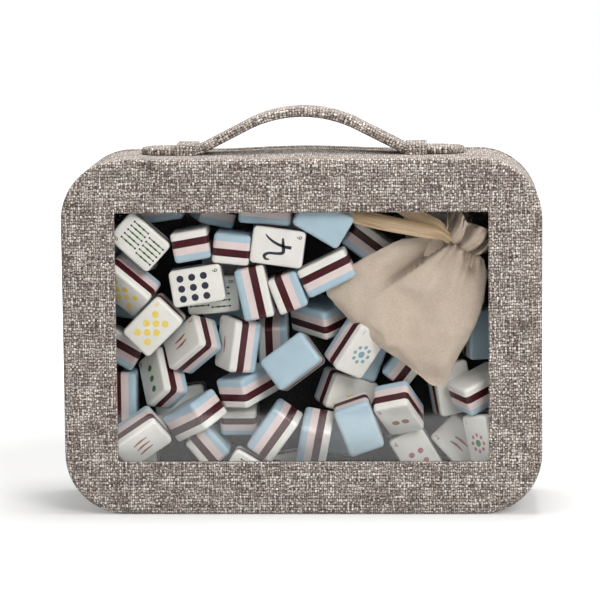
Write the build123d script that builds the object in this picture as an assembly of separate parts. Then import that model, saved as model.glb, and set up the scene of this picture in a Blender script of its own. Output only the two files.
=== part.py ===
from build123d import *
from dataclasses import dataclass
import math
import os

import numpy as np

# Soft sided case for mahjong tiles, with a clear window in front and a lid that
# opens at the back on a zipper.  Millimetres.  +X is right, +Y is back, +Z is up.
# The origin is the centre of the rectangle that the case stands on.

# ---------------------------------------------------------------- case
case_width = 290.0
case_depth = 80.0
case_height = 217.0
corner_radius = 37.0
edge_round = 2.5
fabric = 1.0
board = 1.6
front_board_thickness = 2.0
lining = 0.4
front_lip = 3.5

# ---------------------------------------------------------------- window
window_border = 32.3
window_corner = 1.2
pane_thickness = 0.6
pane_margin = 8.0
pane_corner = 4.0
pane_clearance = 0.1
front_lining_thickness = 1.0

# ---------------------------------------------------------------- zipper and lid
zipper_gap = 7.0
rim_depth = 11.0
tape_thickness = 0.8
tape_hem = 6.0
tape_split = 1.0
chain_width = 1.0
chain_height = 0.9
opening_half_width = 102.0
seam_clearance = 0.3
stop_length = 3.0
rim_board_hem = 5.0

# ---------------------------------------------------------------- lid hinge
strip_thickness = 0.5
strip_lap = 7.0
strip_half_width = 100.0
fold_clearance = 0.1

# ---------------------------------------------------------------- slider and pull tab
slider_length = 9.0
slider_width = 6.4
slider_plate = 0.9
slider_side_clearance = 0.2
slider_flange = 1.3
slider_post_length = 3.0
slider_post_clearance = 0.1
slider_height_on_side = 46.0
lug_thickness = 0.8
lug_gap = 2.0
lug_radius = 1.4
pin_radius = 0.55
eye_radius = 1.25
eye_bore_fit = 0.05
eye_width = 1.8
eye_clearance = 0.15
tab_thickness = 1.2
tab_width = 5.0
tab_neck = 3.2
tab_length = 21.0

# ---------------------------------------------------------------- handle
strap_width = 28.0
strap_thickness = 4.4
strap_edge = 1.9
core_width = 23.0
core_thickness = 2.0
core_edge = 0.6
strap_seat = 0.1
flank_foot = 60.0
flank_angle = 27.0
flank_bend = 6.0
crest_radius = 60.0
tongue_reach = 99.0
tongue_gap = 0.2
keeper_inner = 63.5
keeper_length = 13.0
keeper_thickness = 1.8
keeper_side = 1.7
keeper_clearance = 0.3
keeper_round = 1.5
anchor_plate_thickness = 1.2
anchor_plate_margin = 1.5

# ---------------------------------------------------------------- mahjong tiles
tile_width = 22.5
tile_length = 32.0
tile_thickness = 18.4
tile_corner = 2.5
tile_face_rim = 1.3
tile_back_rim = 1.9
tile_clearance = 0.12
pile_headroom = 17.0
settle_rounds = 900
settle_free_share = 0.6
settle_pull = 0.15
parallel_limit = 0.05
depth_preference = 1.5

# ---------------------------------------------------------------- pouch
pouch_thickness = 24.0
pouch_round = 7.0
pouch_corner = 9.0
ruffle_thickness = 14.0
ruffle_round = 4.0
ribbon_width = 9.0
ribbon_thickness = 0.8
pouch_corners = [(16.0, 136.0), (86.0, 80.0), (112.0, 135.0), (113.0, 156.0), (84.0, 171.0)]
ruffle_corners = [(84.0, 171.0), (113.0, 156.0), (119.0, 168.0), (114.0, 182.0), (92.0, 184.0)]
ribbon_strands = [
    [(84.0, 171.0), (50.0, 179.0), (14.0, 188.0)],
    [(84.0, 171.0), (70.0, 181.0), (58.0, 191.0)],
]

# ---------------------------------------------------------------- worked out
front = -case_depth / 2
back = case_depth / 2
board_front = front + fabric
board_back = board_front + front_board_thickness
pane_back = board_back + pane_thickness
inside_front = board_back + front_lining_thickness
wall = fabric + board + lining
window_width = case_width - 2 * window_border
window_height = case_height - 2 * window_border
middle = case_height / 2
rim_front = back - rim_depth
gusset_back = rim_front - zipper_gap
zipper_middle = (rim_front + gusset_back) / 2
tape_case_edge = zipper_middle - tape_split / 2
tape_lid_edge = zipper_middle + tape_split / 2
tape_case_start = gusset_back - tape_hem
tape_lid_end = rim_front + rim_board_hem
lid_thickness = fabric + board + lining
lid_inside = back - lid_thickness
floor_back = lid_inside - seam_clearance
lid_foot = strip_thickness + seam_clearance
lid_clear_height = wall + 2 * seam_clearance
side = -case_width / 2
top = case_height
tile_pile_top = case_height - wall - pile_headroom


def face_plane(y):
    """Plane that faces the viewer at depth y, with its own x and y along +X and +Z."""
    return Plane(origin=(0, y, 0), x_dir=(1, 0, 0), z_dir=(0, -1, 0))


def slab(sketch, y_front, y_back):
    """Solid between two depths, from a sketch drawn in X and Z."""
    return extrude(face_plane(y_back) * sketch, amount=y_back - y_front)


def outline(inset):
    """Outline of the case as seen from the front, moved in by the inset."""
    shape = RectangleRounded(case_width - 2 * inset, case_height - 2 * inset, corner_radius - inset)
    return Pos(0, middle) * shape


def window(growth=0.0, radius=window_corner):
    """Outline of the window, grown on every side."""
    shape = RectangleRounded(window_width + 2 * growth, window_height + 2 * growth, radius)
    return Pos(0, middle) * shape


def ring(outer, inner, y_front, y_back):
    """Wall that runs round the case between two insets and two depths."""
    return slab(outline(outer) - outline(inner), y_front, y_back)


def block(x, y, z):
    """Box between pairs of limits."""
    size = (x[1] - x[0], y[1] - y[0], z[1] - z[0])
    return Pos((x[0] + x[1]) / 2, (y[0] + y[1]) / 2, (z[0] + z[1]) / 2) * Box(*size)


def floor_strip(z_low, z_high, y_front):
    """Piece of the floor that runs back to the foot of the lid."""
    half = opening_half_width
    return block((-half, half), (y_front, floor_back), (z_low, z_high))


def across(piece, is_left):
    """The piece as made for the right side, or mirrored to the left."""
    return mirror(piece, about=Plane.YZ) if is_left else piece


parts = {}

# ---------------------------------------------------------------- front panel
tray = slab(outline(0), front, front + front_lip)
tray = fillet(tray.edges().group_by(Axis.Y)[0], edge_round)
tray_hollow = slab(outline(fabric), board_front, front + front_lip)
tray_hollow = fillet(tray_hollow.edges().group_by(Axis.Y)[0], edge_round - fabric)
window_hem = slab(window(fabric, window_corner + fabric), board_front, board_back)
window_cut = slab(window(), front, inside_front)
front_fabric = tray - tray_hollow + window_hem - window_cut
parts["front_fabric"] = front_fabric
front_board = slab(outline(fabric), board_front, board_back)
front_board = fillet(front_board.edges().group_by(Axis.Y)[0], edge_round - fabric)
parts["front_board"] = front_board - window_hem
pane_pocket = slab(window(pane_margin + pane_clearance, pane_corner), board_back, pane_back)
parts["window_pane"] = slab(window(pane_margin, pane_corner), board_back, pane_back)
front_lining = slab(outline(fabric + board), board_back, inside_front)
parts["front_lining"] = front_lining - pane_pocket - window_cut

# ---------------------------------------------------------------- gusset
keeper_outer = keeper_inner + keeper_length
keeper_leg_inner = strap_width / 2 + keeper_clearance
keeper_leg_outer = keeper_leg_inner + keeper_side
keeper_slots = []
for x_low, x_high in ((-keeper_outer, -keeper_inner), (keeper_inner, keeper_outer)):
    for y_low, y_high in ((-keeper_leg_outer, -keeper_leg_inner), (keeper_leg_inner, keeper_leg_outer)):
        keeper_slots.append(block((x_low, x_high), (y_low, y_high), (top - wall, top)))

strip_cut = block(
    (-strip_half_width, strip_half_width), (floor_back - strip_lap, floor_back), (0, strip_thickness)
)
gusset_fabric = ring(0, fabric, front + front_lip, gusset_back)
gusset_fabric += floor_strip(0, fabric, gusset_back)
parts["gusset_fabric"] = gusset_fabric - strip_cut - keeper_slots
gusset_board = ring(fabric, fabric + board, board_back, tape_case_start)
gusset_board += floor_strip(fabric, fabric + board, tape_case_start)
parts["gusset_board"] = gusset_board - keeper_slots
gusset_lining = ring(fabric + board, wall, inside_front, tape_case_start)
gusset_lining += floor_strip(fabric + board, wall, tape_case_start)
parts["gusset_lining"] = gusset_lining - keeper_slots

# ---------------------------------------------------------------- lid
lid_cut = block(
    (-opening_half_width - seam_clearance, opening_half_width + seam_clearance),
    (zipper_middle - zipper_gap, lid_inside),
    (0, lid_clear_height),
)
foot_cut = block(
    (-opening_half_width - seam_clearance, opening_half_width + seam_clearance), (lid_inside, back), (0, lid_foot)
)
strip_back = back - strip_thickness
hinge_strip_lid = block(
    (-strip_half_width, strip_half_width), (strip_back, back), (fold_clearance, lid_foot + strip_lap)
)
lid_shell = slab(outline(0), rim_front, back)
lid_shell = fillet(lid_shell.edges().group_by(Axis.Y)[-1], edge_round)
lid_hollow = slab(outline(fabric), rim_front, back - fabric)
lid_hollow = fillet(lid_hollow.edges().group_by(Axis.Y)[-1], edge_round - fabric)
parts["back_fabric"] = lid_shell - lid_hollow - lid_cut - foot_cut - hinge_strip_lid
back_board = slab(outline(fabric), lid_inside + lining, back - fabric)
back_board = fillet(back_board.edges().group_by(Axis.Y)[-1], edge_round - fabric)
parts["back_board"] = back_board - foot_cut
parts["back_lining"] = slab(outline(fabric + board), lid_inside, lid_inside + lining)
parts["rim_board"] = ring(fabric, fabric + board, tape_lid_end, lid_inside + lining) - lid_cut - foot_cut
parts["hinge_strip_lid"] = hinge_strip_lid
hinge_strip_case = block(
    (-strip_half_width, strip_half_width),
    (floor_back - strip_lap, strip_back - fold_clearance),
    (0, strip_thickness),
)
parts["hinge_strip_case"] = hinge_strip_case

# ---------------------------------------------------------------- zipper
tape_inset = fabric
tape_inner = tape_inset + tape_thickness
chain_outset = tape_inset - chain_height
zipper_cut = block(
    (-opening_half_width - seam_clearance, opening_half_width + seam_clearance),
    (tape_case_start, tape_lid_end),
    (0, wall),
)
parts["zipper_tape_case"] = ring(tape_inset, tape_inner, tape_case_start, tape_case_edge) - zipper_cut
parts["zipper_tape_lid"] = ring(tape_inset, tape_inner, tape_lid_edge, tape_lid_end) - zipper_cut
chain_stop = opening_half_width + seam_clearance + stop_length
chain_cut = block((-chain_stop, chain_stop), (tape_case_start, tape_lid_end), (0, wall))
case_chain = ring(chain_outset, tape_inset, tape_case_edge - chain_width, tape_case_edge)
parts["zipper_chain_case"] = case_chain - chain_cut
lid_chain = ring(chain_outset, tape_inset, tape_lid_edge, tape_lid_edge + chain_width)
parts["zipper_chain_lid"] = lid_chain - chain_cut
stop = block(
    (opening_half_width + seam_clearance, chain_stop),
    (tape_case_edge - 2 * chain_width, tape_case_edge),
    (chain_outset, tape_inset),
)
parts["zipper_stops"] = Compound(children=[across(stop, True), across(stop, False)])

# ---------------------------------------------------------------- slider and pull tab
chain_face = side + chain_outset
plate_out = (chain_face - slider_side_clearance - slider_plate, chain_face - slider_side_clearance)
tape_back_face = side + tape_inner
plate_in = (tape_back_face + slider_side_clearance, tape_back_face + slider_side_clearance + slider_plate)
slider_y = (zipper_middle - slider_width / 2, zipper_middle + slider_width / 2)
slider_z = (slider_height_on_side - slider_length / 2, slider_height_on_side + slider_length / 2)
post_half = tape_split / 2 - slider_post_clearance
post_z = (slider_z[1] - slider_post_length, slider_z[1])
pin_x = plate_out[0] - eye_radius - eye_clearance
plate_edges = slider_width / 4
outer_plate = block(plate_out, slider_y, slider_z)
outer_plate = fillet(outer_plate.edges().filter_by(Axis.X), plate_edges)
inner_plate = block(plate_in, slider_y, slider_z)
inner_plate = fillet(inner_plate.edges().filter_by(Axis.X), plate_edges)
post = block((plate_out[1], plate_in[0]), (zipper_middle - post_half, zipper_middle + post_half), post_z)
flange_x = (plate_out[1], side + tape_inset - slider_side_clearance)
flange = block(
    flange_x,
    (slider_y[0], slider_y[0] + slider_flange),
    (slider_z[0] + plate_edges, slider_z[1] - plate_edges),
)
slider = outer_plate + inner_plate + post + flange
pin_z = slider_height_on_side
for sign in (-1, 1):
    lug_middle = zipper_middle + sign * (lug_gap + lug_thickness) / 2
    lug_plane = Plane(origin=(pin_x, lug_middle, pin_z), x_dir=(1, 0, 0), z_dir=(0, 1, 0))
    lug = extrude(lug_plane * Circle(lug_radius), amount=lug_thickness / 2, both=True)
    lug_foot = block(
        (pin_x, plate_out[0]),
        (lug_middle - lug_thickness / 2, lug_middle + lug_thickness / 2),
        (pin_z - lug_radius, pin_z + lug_radius),
    )
    slider += lug + lug_foot
pin_length = lug_gap + 2 * lug_thickness
pin_plane = Plane(origin=(pin_x, zipper_middle, pin_z), x_dir=(1, 0, 0), z_dir=(0, 1, 0))
pin = extrude(pin_plane * Circle(pin_radius), amount=pin_length / 2, both=True)
parts["slider_body"] = slider - pin
parts["slider_pin"] = pin
eye = extrude(pin_plane * Circle(eye_radius), amount=eye_width / 2, both=True)
neck_half = tab_thickness / 2
neck = block(
    (pin_x - neck_half, pin_x + neck_half),
    (zipper_middle - eye_width / 2, zipper_middle + eye_width / 2),
    (pin_z - tab_neck, pin_z),
)
tab_blade = block(
    (pin_x - neck_half, pin_x + neck_half),
    (zipper_middle - tab_width / 2, zipper_middle + tab_width / 2),
    (pin_z - tab_length, pin_z - tab_neck),
)
tab_blade = fillet(tab_blade.edges().filter_by(Axis.X), tab_width / 3)
eye_bore = extrude(pin_plane * Circle(pin_radius + eye_bore_fit), amount=eye_width, both=True)
parts["pull_tab"] = eye + neck + tab_blade - eye_bore

# ---------------------------------------------------------------- handle
strap_low = top + strap_seat
strap_middle = strap_low + strap_thickness / 2
strap_top = strap_low + strap_thickness
strap_end = (keeper_inner + keeper_outer) / 2
peak = strap_middle + flank_foot * math.tan(math.radians(flank_angle))
strap_path = FilletPolyline(
    (-strap_end + tongue_gap / 2, 0, strap_middle),
    (-flank_foot, 0, strap_middle),
    (0, 0, peak),
    (flank_foot, 0, strap_middle),
    (strap_end - tongue_gap / 2, 0, strap_middle),
    radius=[flank_bend, crest_radius, flank_bend],
)
section_plane = Plane(origin=strap_path @ 0, x_dir=(0, 1, 0), z_dir=(1, 0, 0))
core_section = section_plane * RectangleRounded(core_width, core_thickness, core_edge)
strap_section = section_plane * RectangleRounded(strap_width, strap_thickness, strap_edge)
handle_core = sweep(core_section, path=strap_path)
parts["handle_core"] = handle_core
parts["handle_cover"] = sweep(strap_section - core_section, path=strap_path)

tongue_radius = strap_width / 2
tongue_centre = tongue_reach - tongue_radius
tongue_plan = Circle(tongue_radius)
tongue_run = tongue_centre - strap_end - tongue_gap / 2
tongue_plan += Pos(-tongue_run / 2, 0) * Rectangle(tongue_run, strap_width)
tongue = extrude(Pos(tongue_centre, 0, strap_low) * tongue_plan, amount=strap_thickness)
tongue_rims = tongue.edges().group_by(Axis.Z)
tongue_free_rims = [rim for rim in tongue_rims[0] + tongue_rims[-1] if rim.center().X > strap_end + tongue_gap]
tongue = fillet(tongue_free_rims, strap_edge)
parts["handle_end_left"] = across(tongue, True)
parts["handle_end_right"] = across(tongue, False)

keeper_top = strap_top + keeper_clearance + keeper_thickness
keeper_roof = strap_top + keeper_clearance
keeper = block((keeper_inner, keeper_outer), (-keeper_leg_outer, keeper_leg_outer), (top - wall, keeper_top))
keeper = fillet(keeper.edges().filter_by(Axis.X).group_by(Axis.Z)[-1], keeper_round)
keeper -= block((keeper_inner, keeper_outer), (-keeper_leg_inner, keeper_leg_inner), (top - wall, keeper_roof))
parts["keeper_left"] = across(keeper, True)
parts["keeper_right"] = across(keeper, False)
anchor_plate = block(
    (keeper_inner - anchor_plate_margin, keeper_outer + anchor_plate_margin),
    (-keeper_leg_outer - anchor_plate_margin, keeper_leg_outer + anchor_plate_margin),
    (top - wall - anchor_plate_thickness, top - wall),
)
parts["keeper_anchor_plates"] = Compound(children=[across(anchor_plate, True), across(anchor_plate, False)])

# ---------------------------------------------------------------- pouch
pouch_front = inside_front + seam_clearance
pouch_back = pouch_front + pouch_thickness


def pillow(corners, thickness, corner, rounding):
    """Soft solid with a rounded outline, against the window."""
    middle_y = pouch_front + pouch_thickness / 2
    shape = Polygon(*corners, align=None)
    shape = fillet(shape.vertices(), corner)
    solid = slab(shape, middle_y - thickness / 2, middle_y + thickness / 2)
    rims = solid.edges().group_by(Axis.Y)
    return fillet(rims[0] + rims[-1], rounding)


def ribbon(points):
    """Flat band through a list of points in X and Z."""
    band = offset(Polyline(*points), ribbon_width / 2, side=Side.BOTH)
    return slab(make_face(band), pouch_front, pouch_front + ribbon_thickness)


pouch_bag = pillow(pouch_corners, pouch_thickness, pouch_corner, pouch_round)
pouch_ruffle = pillow(ruffle_corners, ruffle_thickness, ruffle_round, ruffle_round)
parts["pouch_bag"] = pouch_bag
parts["pouch_ruffle"] = pouch_ruffle - pouch_bag
strands = [ribbon(points) for points in ribbon_strands]
parts["pouch_drawstring"] = Compound(
    children=[strands[0] - pouch_bag - pouch_ruffle, strands[1] - strands[0] - pouch_bag - pouch_ruffle]
)


# ---------------------------------------------------------------- tiles
@dataclass(frozen=True)
class TileSeed:
    """Where one tile is dropped, and how it is turned.

    x and z are the middle of the tile as seen from the front, and behind is how far
    it lies behind the tiles that touch the window.  show is the side that looks at
    the window.  turn is the angle in the plane of the window, anticlockwise, tip
    brings the upper end forward and swing brings the left side forward, in degrees.
    """

    x: float
    z: float
    show: str
    turn: float = 0.0
    tip: float = 0.0
    swing: float = 0.0
    behind: float = 0.0


# The side that looks at the window: the white face, the blue back, the long edge
# with white uppermost, or the short edge with white uppermost.
SHOW = {
    "face": Rot(0, 0, 0),
    "back": Rot(0, 0, 180),
    "long": Rot(0, 90, 0) * Rot(0, 0, -90),
    "end": Rot(-90, 0, 0),
}

window_tiles = [
    TileSeed(-96, 165, "face", 48),
    TileSeed(-66, 166, "end", 10),
    TileSeed(-63, 145, "face", -81),
    TileSeed(-104, 141, "face", 50, 0, -38),
    TileSeed(-90, 115, "face", -45, 6),
    TileSeed(-70, 99, "face", -48, 28, -44),
    TileSeed(-87, 78, "face", 16, -36, -44),
    TileSeed(-110, 96, "long", -30, 0, 0, 20),
    TileSeed(-104, 70, "long", 90, 0, 0, 20),
    TileSeed(-94, 42, "face", -56, 0, 36),
    TileSeed(-66, 58, "long", 212, 0, 42),
    TileSeed(-62, 38, "end", 130, 0, 0, 20),
    TileSeed(-38, 70, "long", 192, -8, -52),
    TileSeed(-39, 50, "end", 0, 25, 0, 16),
    TileSeed(-19, 55, "long", 235, 0, 12),
    TileSeed(-30, 28, "face", 59, 0, 0, 4),
    TileSeed(3, 44, "long", 259, 0, 31),
    TileSeed(26, 71, "face", 70, 30, 0, 20),
    TileSeed(31, 52, "back", 19, 15),
    TileSeed(56, 54, "face", 28, 45, -20),
    TileSeed(73, 44, "face", 30, 10, 0, 22),
    TileSeed(90, 46, "face", 45, -20, 0, 24),
    TileSeed(82, 70, "face", 10, 0, 20, 22),
    TileSeed(108, 51, "face", 12, 0, -50),
    TileSeed(96, 76, "long", 16, 16, 28),
    TileSeed(66, 86, "long", 232, 0, 0, 8),
    TileSeed(110, 108, "back", 0, 0, 15, 26),
    TileSeed(30, 99, "face", -33, 4, 36),
    TileSeed(46, 88, "back", -20, 0, 0, 26),
    TileSeed(10, 117, "long", 185, -15, 45, 16),
    TileSeed(-7, 90, "back", -53, 0, -15),
    TileSeed(-45, 99, "face", -8, 0, -60),
    TileSeed(-22, 100, "long", 90, 0, -30, 20),
    TileSeed(-29, 132, "long", -78),
    TileSeed(-9, 135, "end", 111),
    TileSeed(15, 145, "long", 26),
    TileSeed(-13, 161, "face", 82),
    TileSeed(-41, 166, "end", 174),
    TileSeed(-26, 184, "long", -5, 0, 0, 6),
    TileSeed(9, 179, "back", 59),
    TileSeed(41, 163, "long", -37, 0, 0, 10),
    TileSeed(-85, 188, "long", 8, 0, 0, 16),
    TileSeed(-56, 187, "end", -14, 0, 20, 12),
    TileSeed(-54, 127, "face", -85, 0, 0, 12),
    TileSeed(-107, 13, "long", 180),
    TileSeed(-71, 13, "long"),
    TileSeed(3, 13, "long", 180),
    TileSeed(38, 13, "long"),
    TileSeed(73, 13, "long", 180),
    TileSeed(108, 13, "long"),
]
# Tiles behind these are laid one by one on what lies below, in columns from side to side.
fill_columns = 8
fill_rows = 2
fill_step = 1.0
drop_step = 0.5
drop_limit = 2.5
fill_finest = 0.1
fill_top = 175.0
fill_turns = (4.0, -7.0, 12.0, -3.0, 9.0, -14.0)

tile_half = np.array([tile_width, tile_thickness, tile_length]) / 2 + tile_clearance / 2
room_x = case_width / 2 - wall - seam_clearance
room_front = inside_front + ribbon_thickness + 2 * seam_clearance
room_back = tape_case_edge
room_floor = wall
room_radius = corner_radius - wall


def turned(show, turn=0.0, tip=0.0, swing=0.0):
    """Rotation of a tile, from the side that it shows and its three angles."""
    return Rot(0, -turn, 0) * Rot(tip, 0, 0) * Rot(0, 0, swing) * SHOW[show]


def directions_of(rotation):
    """Unit vectors along a tile's width, thickness and length, one a row."""
    frame = Plane(rotation)
    return np.array([tuple(frame.x_dir), tuple(frame.y_dir), tuple(frame.z_dir)])


def tile_overlaps(one, two, gaps):
    """Depth and direction of least overlap for pairs of tiles, by separating axes."""
    crossed = np.cross(one[:, :, None, :], two[:, None, :, :]).reshape(len(gaps), 9, 3)
    length = np.linalg.norm(crossed, axis=2)
    crossed = crossed / np.maximum(length, 1e-6)[:, :, None]
    directions = np.concatenate([one, two, crossed], axis=1)
    reach = np.abs(np.einsum("pdk,pik->pdi", directions, one)) @ tile_half
    reach += np.abs(np.einsum("pdk,pik->pdi", directions, two)) @ tile_half
    along = np.einsum("pdk,pk->pd", directions, gaps)
    depth = reach - np.abs(along)
    depth[:, 6:][length < parallel_limit] = np.inf
    ease = depth / (1 + depth_preference * np.abs(directions[:, :, 1]))
    best = np.where(depth.min(axis=1) < 0, depth.argmin(axis=1), ease.argmin(axis=1))
    rows = np.arange(len(gaps))
    signs = np.where(along[rows, best] < 0, -1.0, 1.0)
    return depth[rows, best], directions[rows, best] * signs[:, None]


class Pile:
    """Tiles in the case: pushed apart at the window, then laid one by one behind."""

    def __init__(self, seeds):
        self.rotations = [turned(seed.show, seed.turn, seed.tip, seed.swing) for seed in seeds]
        self.axes = np.array([directions_of(rotation) for rotation in self.rotations])
        self.extent = self.reach_of(self.axes)
        depth = room_front + self.extent[:, 1] + np.array([seed.behind for seed in seeds])
        self.home = np.array([(seed.x, y, seed.z) for seed, y in zip(seeds, depth)])
        self.centres = self.home.copy()
        self.signs = np.array([[a, b, c] for a in (-1, 1) for b in (-1, 1) for c in (-1, 1)])

    @staticmethod
    def reach_of(axes):
        """Half size of turned tiles along X, Y and Z."""
        return np.abs(axes * tile_half[None, :, None]).sum(axis=1)

    def push_apart(self):
        """Move each overlapping pair apart, to the back sooner than sideways."""
        first, second = np.triu_indices(len(self.centres), 1)
        gaps = self.centres[second] - self.centres[first]
        near = np.nonzero((gaps**2).sum(axis=1) < (2 * np.linalg.norm(tile_half)) ** 2)[0]
        first, second = first[near], second[near]
        depth, direction = tile_overlaps(self.axes[first], self.axes[second], gaps[near])
        hit = np.nonzero(depth > 0)[0]
        if not len(hit):
            return 0.0
        move = direction[hit] * (depth[hit] / 2)[:, None]
        np.add.at(self.centres, second[hit], move)
        np.add.at(self.centres, first[hit], -move)
        return depth[hit].max()

    def pouch_overlap(self, centres, axes):
        """How far tiles reach into the pouch or its ruffle, and the way out."""
        extent = self.reach_of(axes)
        depths = []
        ways = []
        for corners in (pouch_corners, ruffle_corners):
            points = np.array(corners)
            edges = np.roll(points, -1, axis=0) - points
            normals = np.stack([edges[:, 1], np.zeros(len(edges)), -edges[:, 0]], axis=1)
            normals /= np.linalg.norm(normals, axis=1)[:, None]
            reach = np.abs(np.einsum("nkj,ej->nke", axes, normals) * tile_half[None, :, None]).sum(axis=1)
            planes = normals[:, 0] * points[:, 0] + normals[:, 2] * points[:, 1]
            depth = planes + reach + seam_clearance - centres @ normals.T
            rear = pouch_back + extent[:, 1] + seam_clearance - centres[:, 1]
            depth = np.concatenate([depth, rear[:, None]], axis=1)
            ease = depth.copy()
            ease[:, -1] /= 1 + depth_preference
            best = np.where(depth.min(axis=1) < 0, depth.argmin(axis=1), ease.argmin(axis=1))
            depths.append(depth[np.arange(len(best)), best])
            ways.append(np.vstack([normals, [0, 1, 0]])[best])
        return depths, ways

    def wall_push(self, centres, axes):
        """Moves that bring tiles back inside the walls and the rounded corners."""
        extent = self.reach_of(axes)
        low = np.array([-room_x, room_front, room_floor])
        high = np.array([room_x, room_back, tile_pile_top])
        kept = np.clip(centres, low + extent, high - extent)
        points = kept[:, None, :] + np.einsum("vk,nkj->nvj", self.signs * tile_half, axes)
        over_x = np.maximum(np.abs(points[..., 0]) - (room_x - room_radius), 0)
        over_z = np.maximum(np.abs(points[..., 2] - middle) - (middle - room_floor - room_radius), 0)
        outside = np.where((over_x > 0) & (over_z > 0), np.hypot(over_x, over_z) - room_radius, 0)
        worst = outside.argmax(axis=1)
        rows = np.arange(len(worst))
        way = np.zeros_like(kept)
        way[:, 0] = -np.sign(points[rows, worst, 0]) * over_x[rows, worst]
        way[:, 2] = -np.sign(points[rows, worst, 2] - middle) * over_z[rows, worst]
        way /= np.maximum(np.linalg.norm(way, axis=1), 1e-9)[:, None]
        return kept + way * np.maximum(outside[rows, worst], 0)[:, None] - centres

    def settle(self):
        """Push the tiles apart while they are drawn to their places, then without that pull."""
        free = int(settle_rounds * settle_free_share)
        for step in range(settle_rounds):
            if step < free:
                self.centres += (self.home - self.centres) * settle_pull * (1 - step / free)
            moves = [self.push_apart()]
            for depth, way in zip(*self.pouch_overlap(self.centres, self.axes)):
                self.centres += way * np.maximum(depth, 0)[:, None]
                moves.append(depth.max())
            inward = self.wall_push(self.centres, self.axes)
            self.centres += inward
            moves.append(np.abs(inward).max())
            if step > free and max(moves) <= tile_clearance / 3:
                break
        return max(moves)

    def is_free(self, centre, axes, itself=None):
        """Whether one more tile, or the tile of this number, fits here."""
        centres, turns = centre[None, :], axes[None, :, :]
        if np.abs(self.wall_push(centres, turns)).max() > 1e-6:
            return False
        depths, _ = self.pouch_overlap(centres, turns)
        if max(depth.max() for depth in depths) > 0:
            return False
        gaps = self.centres - centre
        near = np.nonzero((gaps**2).sum(axis=1) < (2 * np.linalg.norm(tile_half)) ** 2)[0]
        near = near[near != itself]
        if not len(near):
            return True
        repeated = np.repeat(turns, len(near), axis=0)
        depth, _ = tile_overlaps(repeated, self.axes[near], gaps[near])
        return depth.max() <= 0

    def drop(self):
        """Let each tile sink a little onto what lies below it, the lowest first."""
        for index in np.argsort(self.centres[:, 2]):
            sunk = 0.0
            step = drop_step
            while step > fill_finest / 2:
                lower = self.centres[index] - [0, 0, step]
                if sunk + step <= drop_limit and self.is_free(lower, self.axes[index], index):
                    self.centres[index] = lower
                    sunk += step
                else:
                    step /= 2

    def lay(self, x, y, floor, rotation):
        """Lay one tile on what lies below it, at the lowest free height over the floor given."""
        axes = directions_of(rotation)
        height = floor + self.reach_of(axes[None])[0, 2]
        while not self.is_free(np.array([x, y, height]), axes):
            height += fill_step
            if height > fill_top:
                return None
        step = fill_step / 2
        while step > fill_finest / 2:
            if height - step > floor and self.is_free(np.array([x, y, height - step]), axes):
                height -= step
            step /= 2
        self.centres = np.vstack([self.centres, [x, y, height]])
        self.axes = np.concatenate([self.axes, axes[None]])
        self.rotations.append(rotation)
        return height

    def fill_behind(self):
        """Lay tiles in columns behind the window tiles, up to the top of the pile."""
        pitch = 2 * (room_x - room_radius / 2) / fill_columns
        count = 0
        for row in range(fill_rows):
            for column in range(fill_columns + row):
                x = (column - (fill_columns + row - 1) / 2) * pitch
                height = room_floor
                while height is not None:
                    turn = 90 + fill_turns[count % len(fill_turns)]
                    rotation = turned("back" if count % 2 else "face", turn)
                    y = room_back - (row + 0.5) * (tile_thickness + tile_clearance)
                    height = self.lay(x, y, height, rotation)
                    count += 1

    def places(self):
        """Location of each tile."""
        return [Pos(*centre) * turn for centre, turn in zip(self.centres, self.rotations)]


def tile_solid():
    """One tile, lying with its white face to the front."""
    sketch = RectangleRounded(tile_width, tile_length, tile_corner)
    solid = slab(sketch, -tile_thickness / 2, tile_thickness / 2)
    solid = fillet(solid.edges().group_by(Axis.Y)[0], tile_face_rim)
    return fillet(solid.edges().group_by(Axis.Y)[-1], tile_back_rim)


pile = Pile(window_tiles)
leftover = pile.settle()
pile.drop()
pile.fill_behind()
tile_places = pile.places()
print("tiles", len(tile_places), "overlap left", round(float(leftover), 3))
tile = tile_solid()
parts["mahjong_tiles"] = Compound(children=[place * tile for place in tile_places])

os.makedirs("parts", exist_ok=True)
for name, shape in parts.items():
    export_step(shape, f"parts/{name}.step")
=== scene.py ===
"""Looks, light and camera for a soft sided case of mahjong tiles.

Sizes are in millimetres in the classes, and become metres where a mesh is made.
+X is right, +Y is back and +Z is up.
"""

import logging
import math
from dataclasses import dataclass, field
from enum import Enum
from typing import Callable, Sequence

import bmesh
import bpy
import numpy as np
from mathutils import Matrix, Vector, noise


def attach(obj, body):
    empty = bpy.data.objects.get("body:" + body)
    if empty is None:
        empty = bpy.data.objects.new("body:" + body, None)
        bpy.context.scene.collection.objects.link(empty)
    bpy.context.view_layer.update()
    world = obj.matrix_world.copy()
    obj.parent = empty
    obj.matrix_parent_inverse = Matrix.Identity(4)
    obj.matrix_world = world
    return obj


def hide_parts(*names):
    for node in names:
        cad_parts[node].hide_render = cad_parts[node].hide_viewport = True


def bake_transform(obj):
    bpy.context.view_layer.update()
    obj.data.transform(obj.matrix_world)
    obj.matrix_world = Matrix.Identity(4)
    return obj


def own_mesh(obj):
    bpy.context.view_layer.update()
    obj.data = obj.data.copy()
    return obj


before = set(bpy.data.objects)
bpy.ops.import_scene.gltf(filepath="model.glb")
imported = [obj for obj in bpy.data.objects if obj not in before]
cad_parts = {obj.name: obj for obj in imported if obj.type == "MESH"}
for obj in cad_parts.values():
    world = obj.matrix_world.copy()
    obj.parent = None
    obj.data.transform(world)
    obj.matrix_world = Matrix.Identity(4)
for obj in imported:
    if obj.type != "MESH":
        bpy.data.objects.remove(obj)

MM = 0.001
WEAVE_LAYER = "weave"
# point attribute that holds painted shade in the folds and pleats of the pouch
PAINTED_SHADE_LAYER = "fold"

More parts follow.
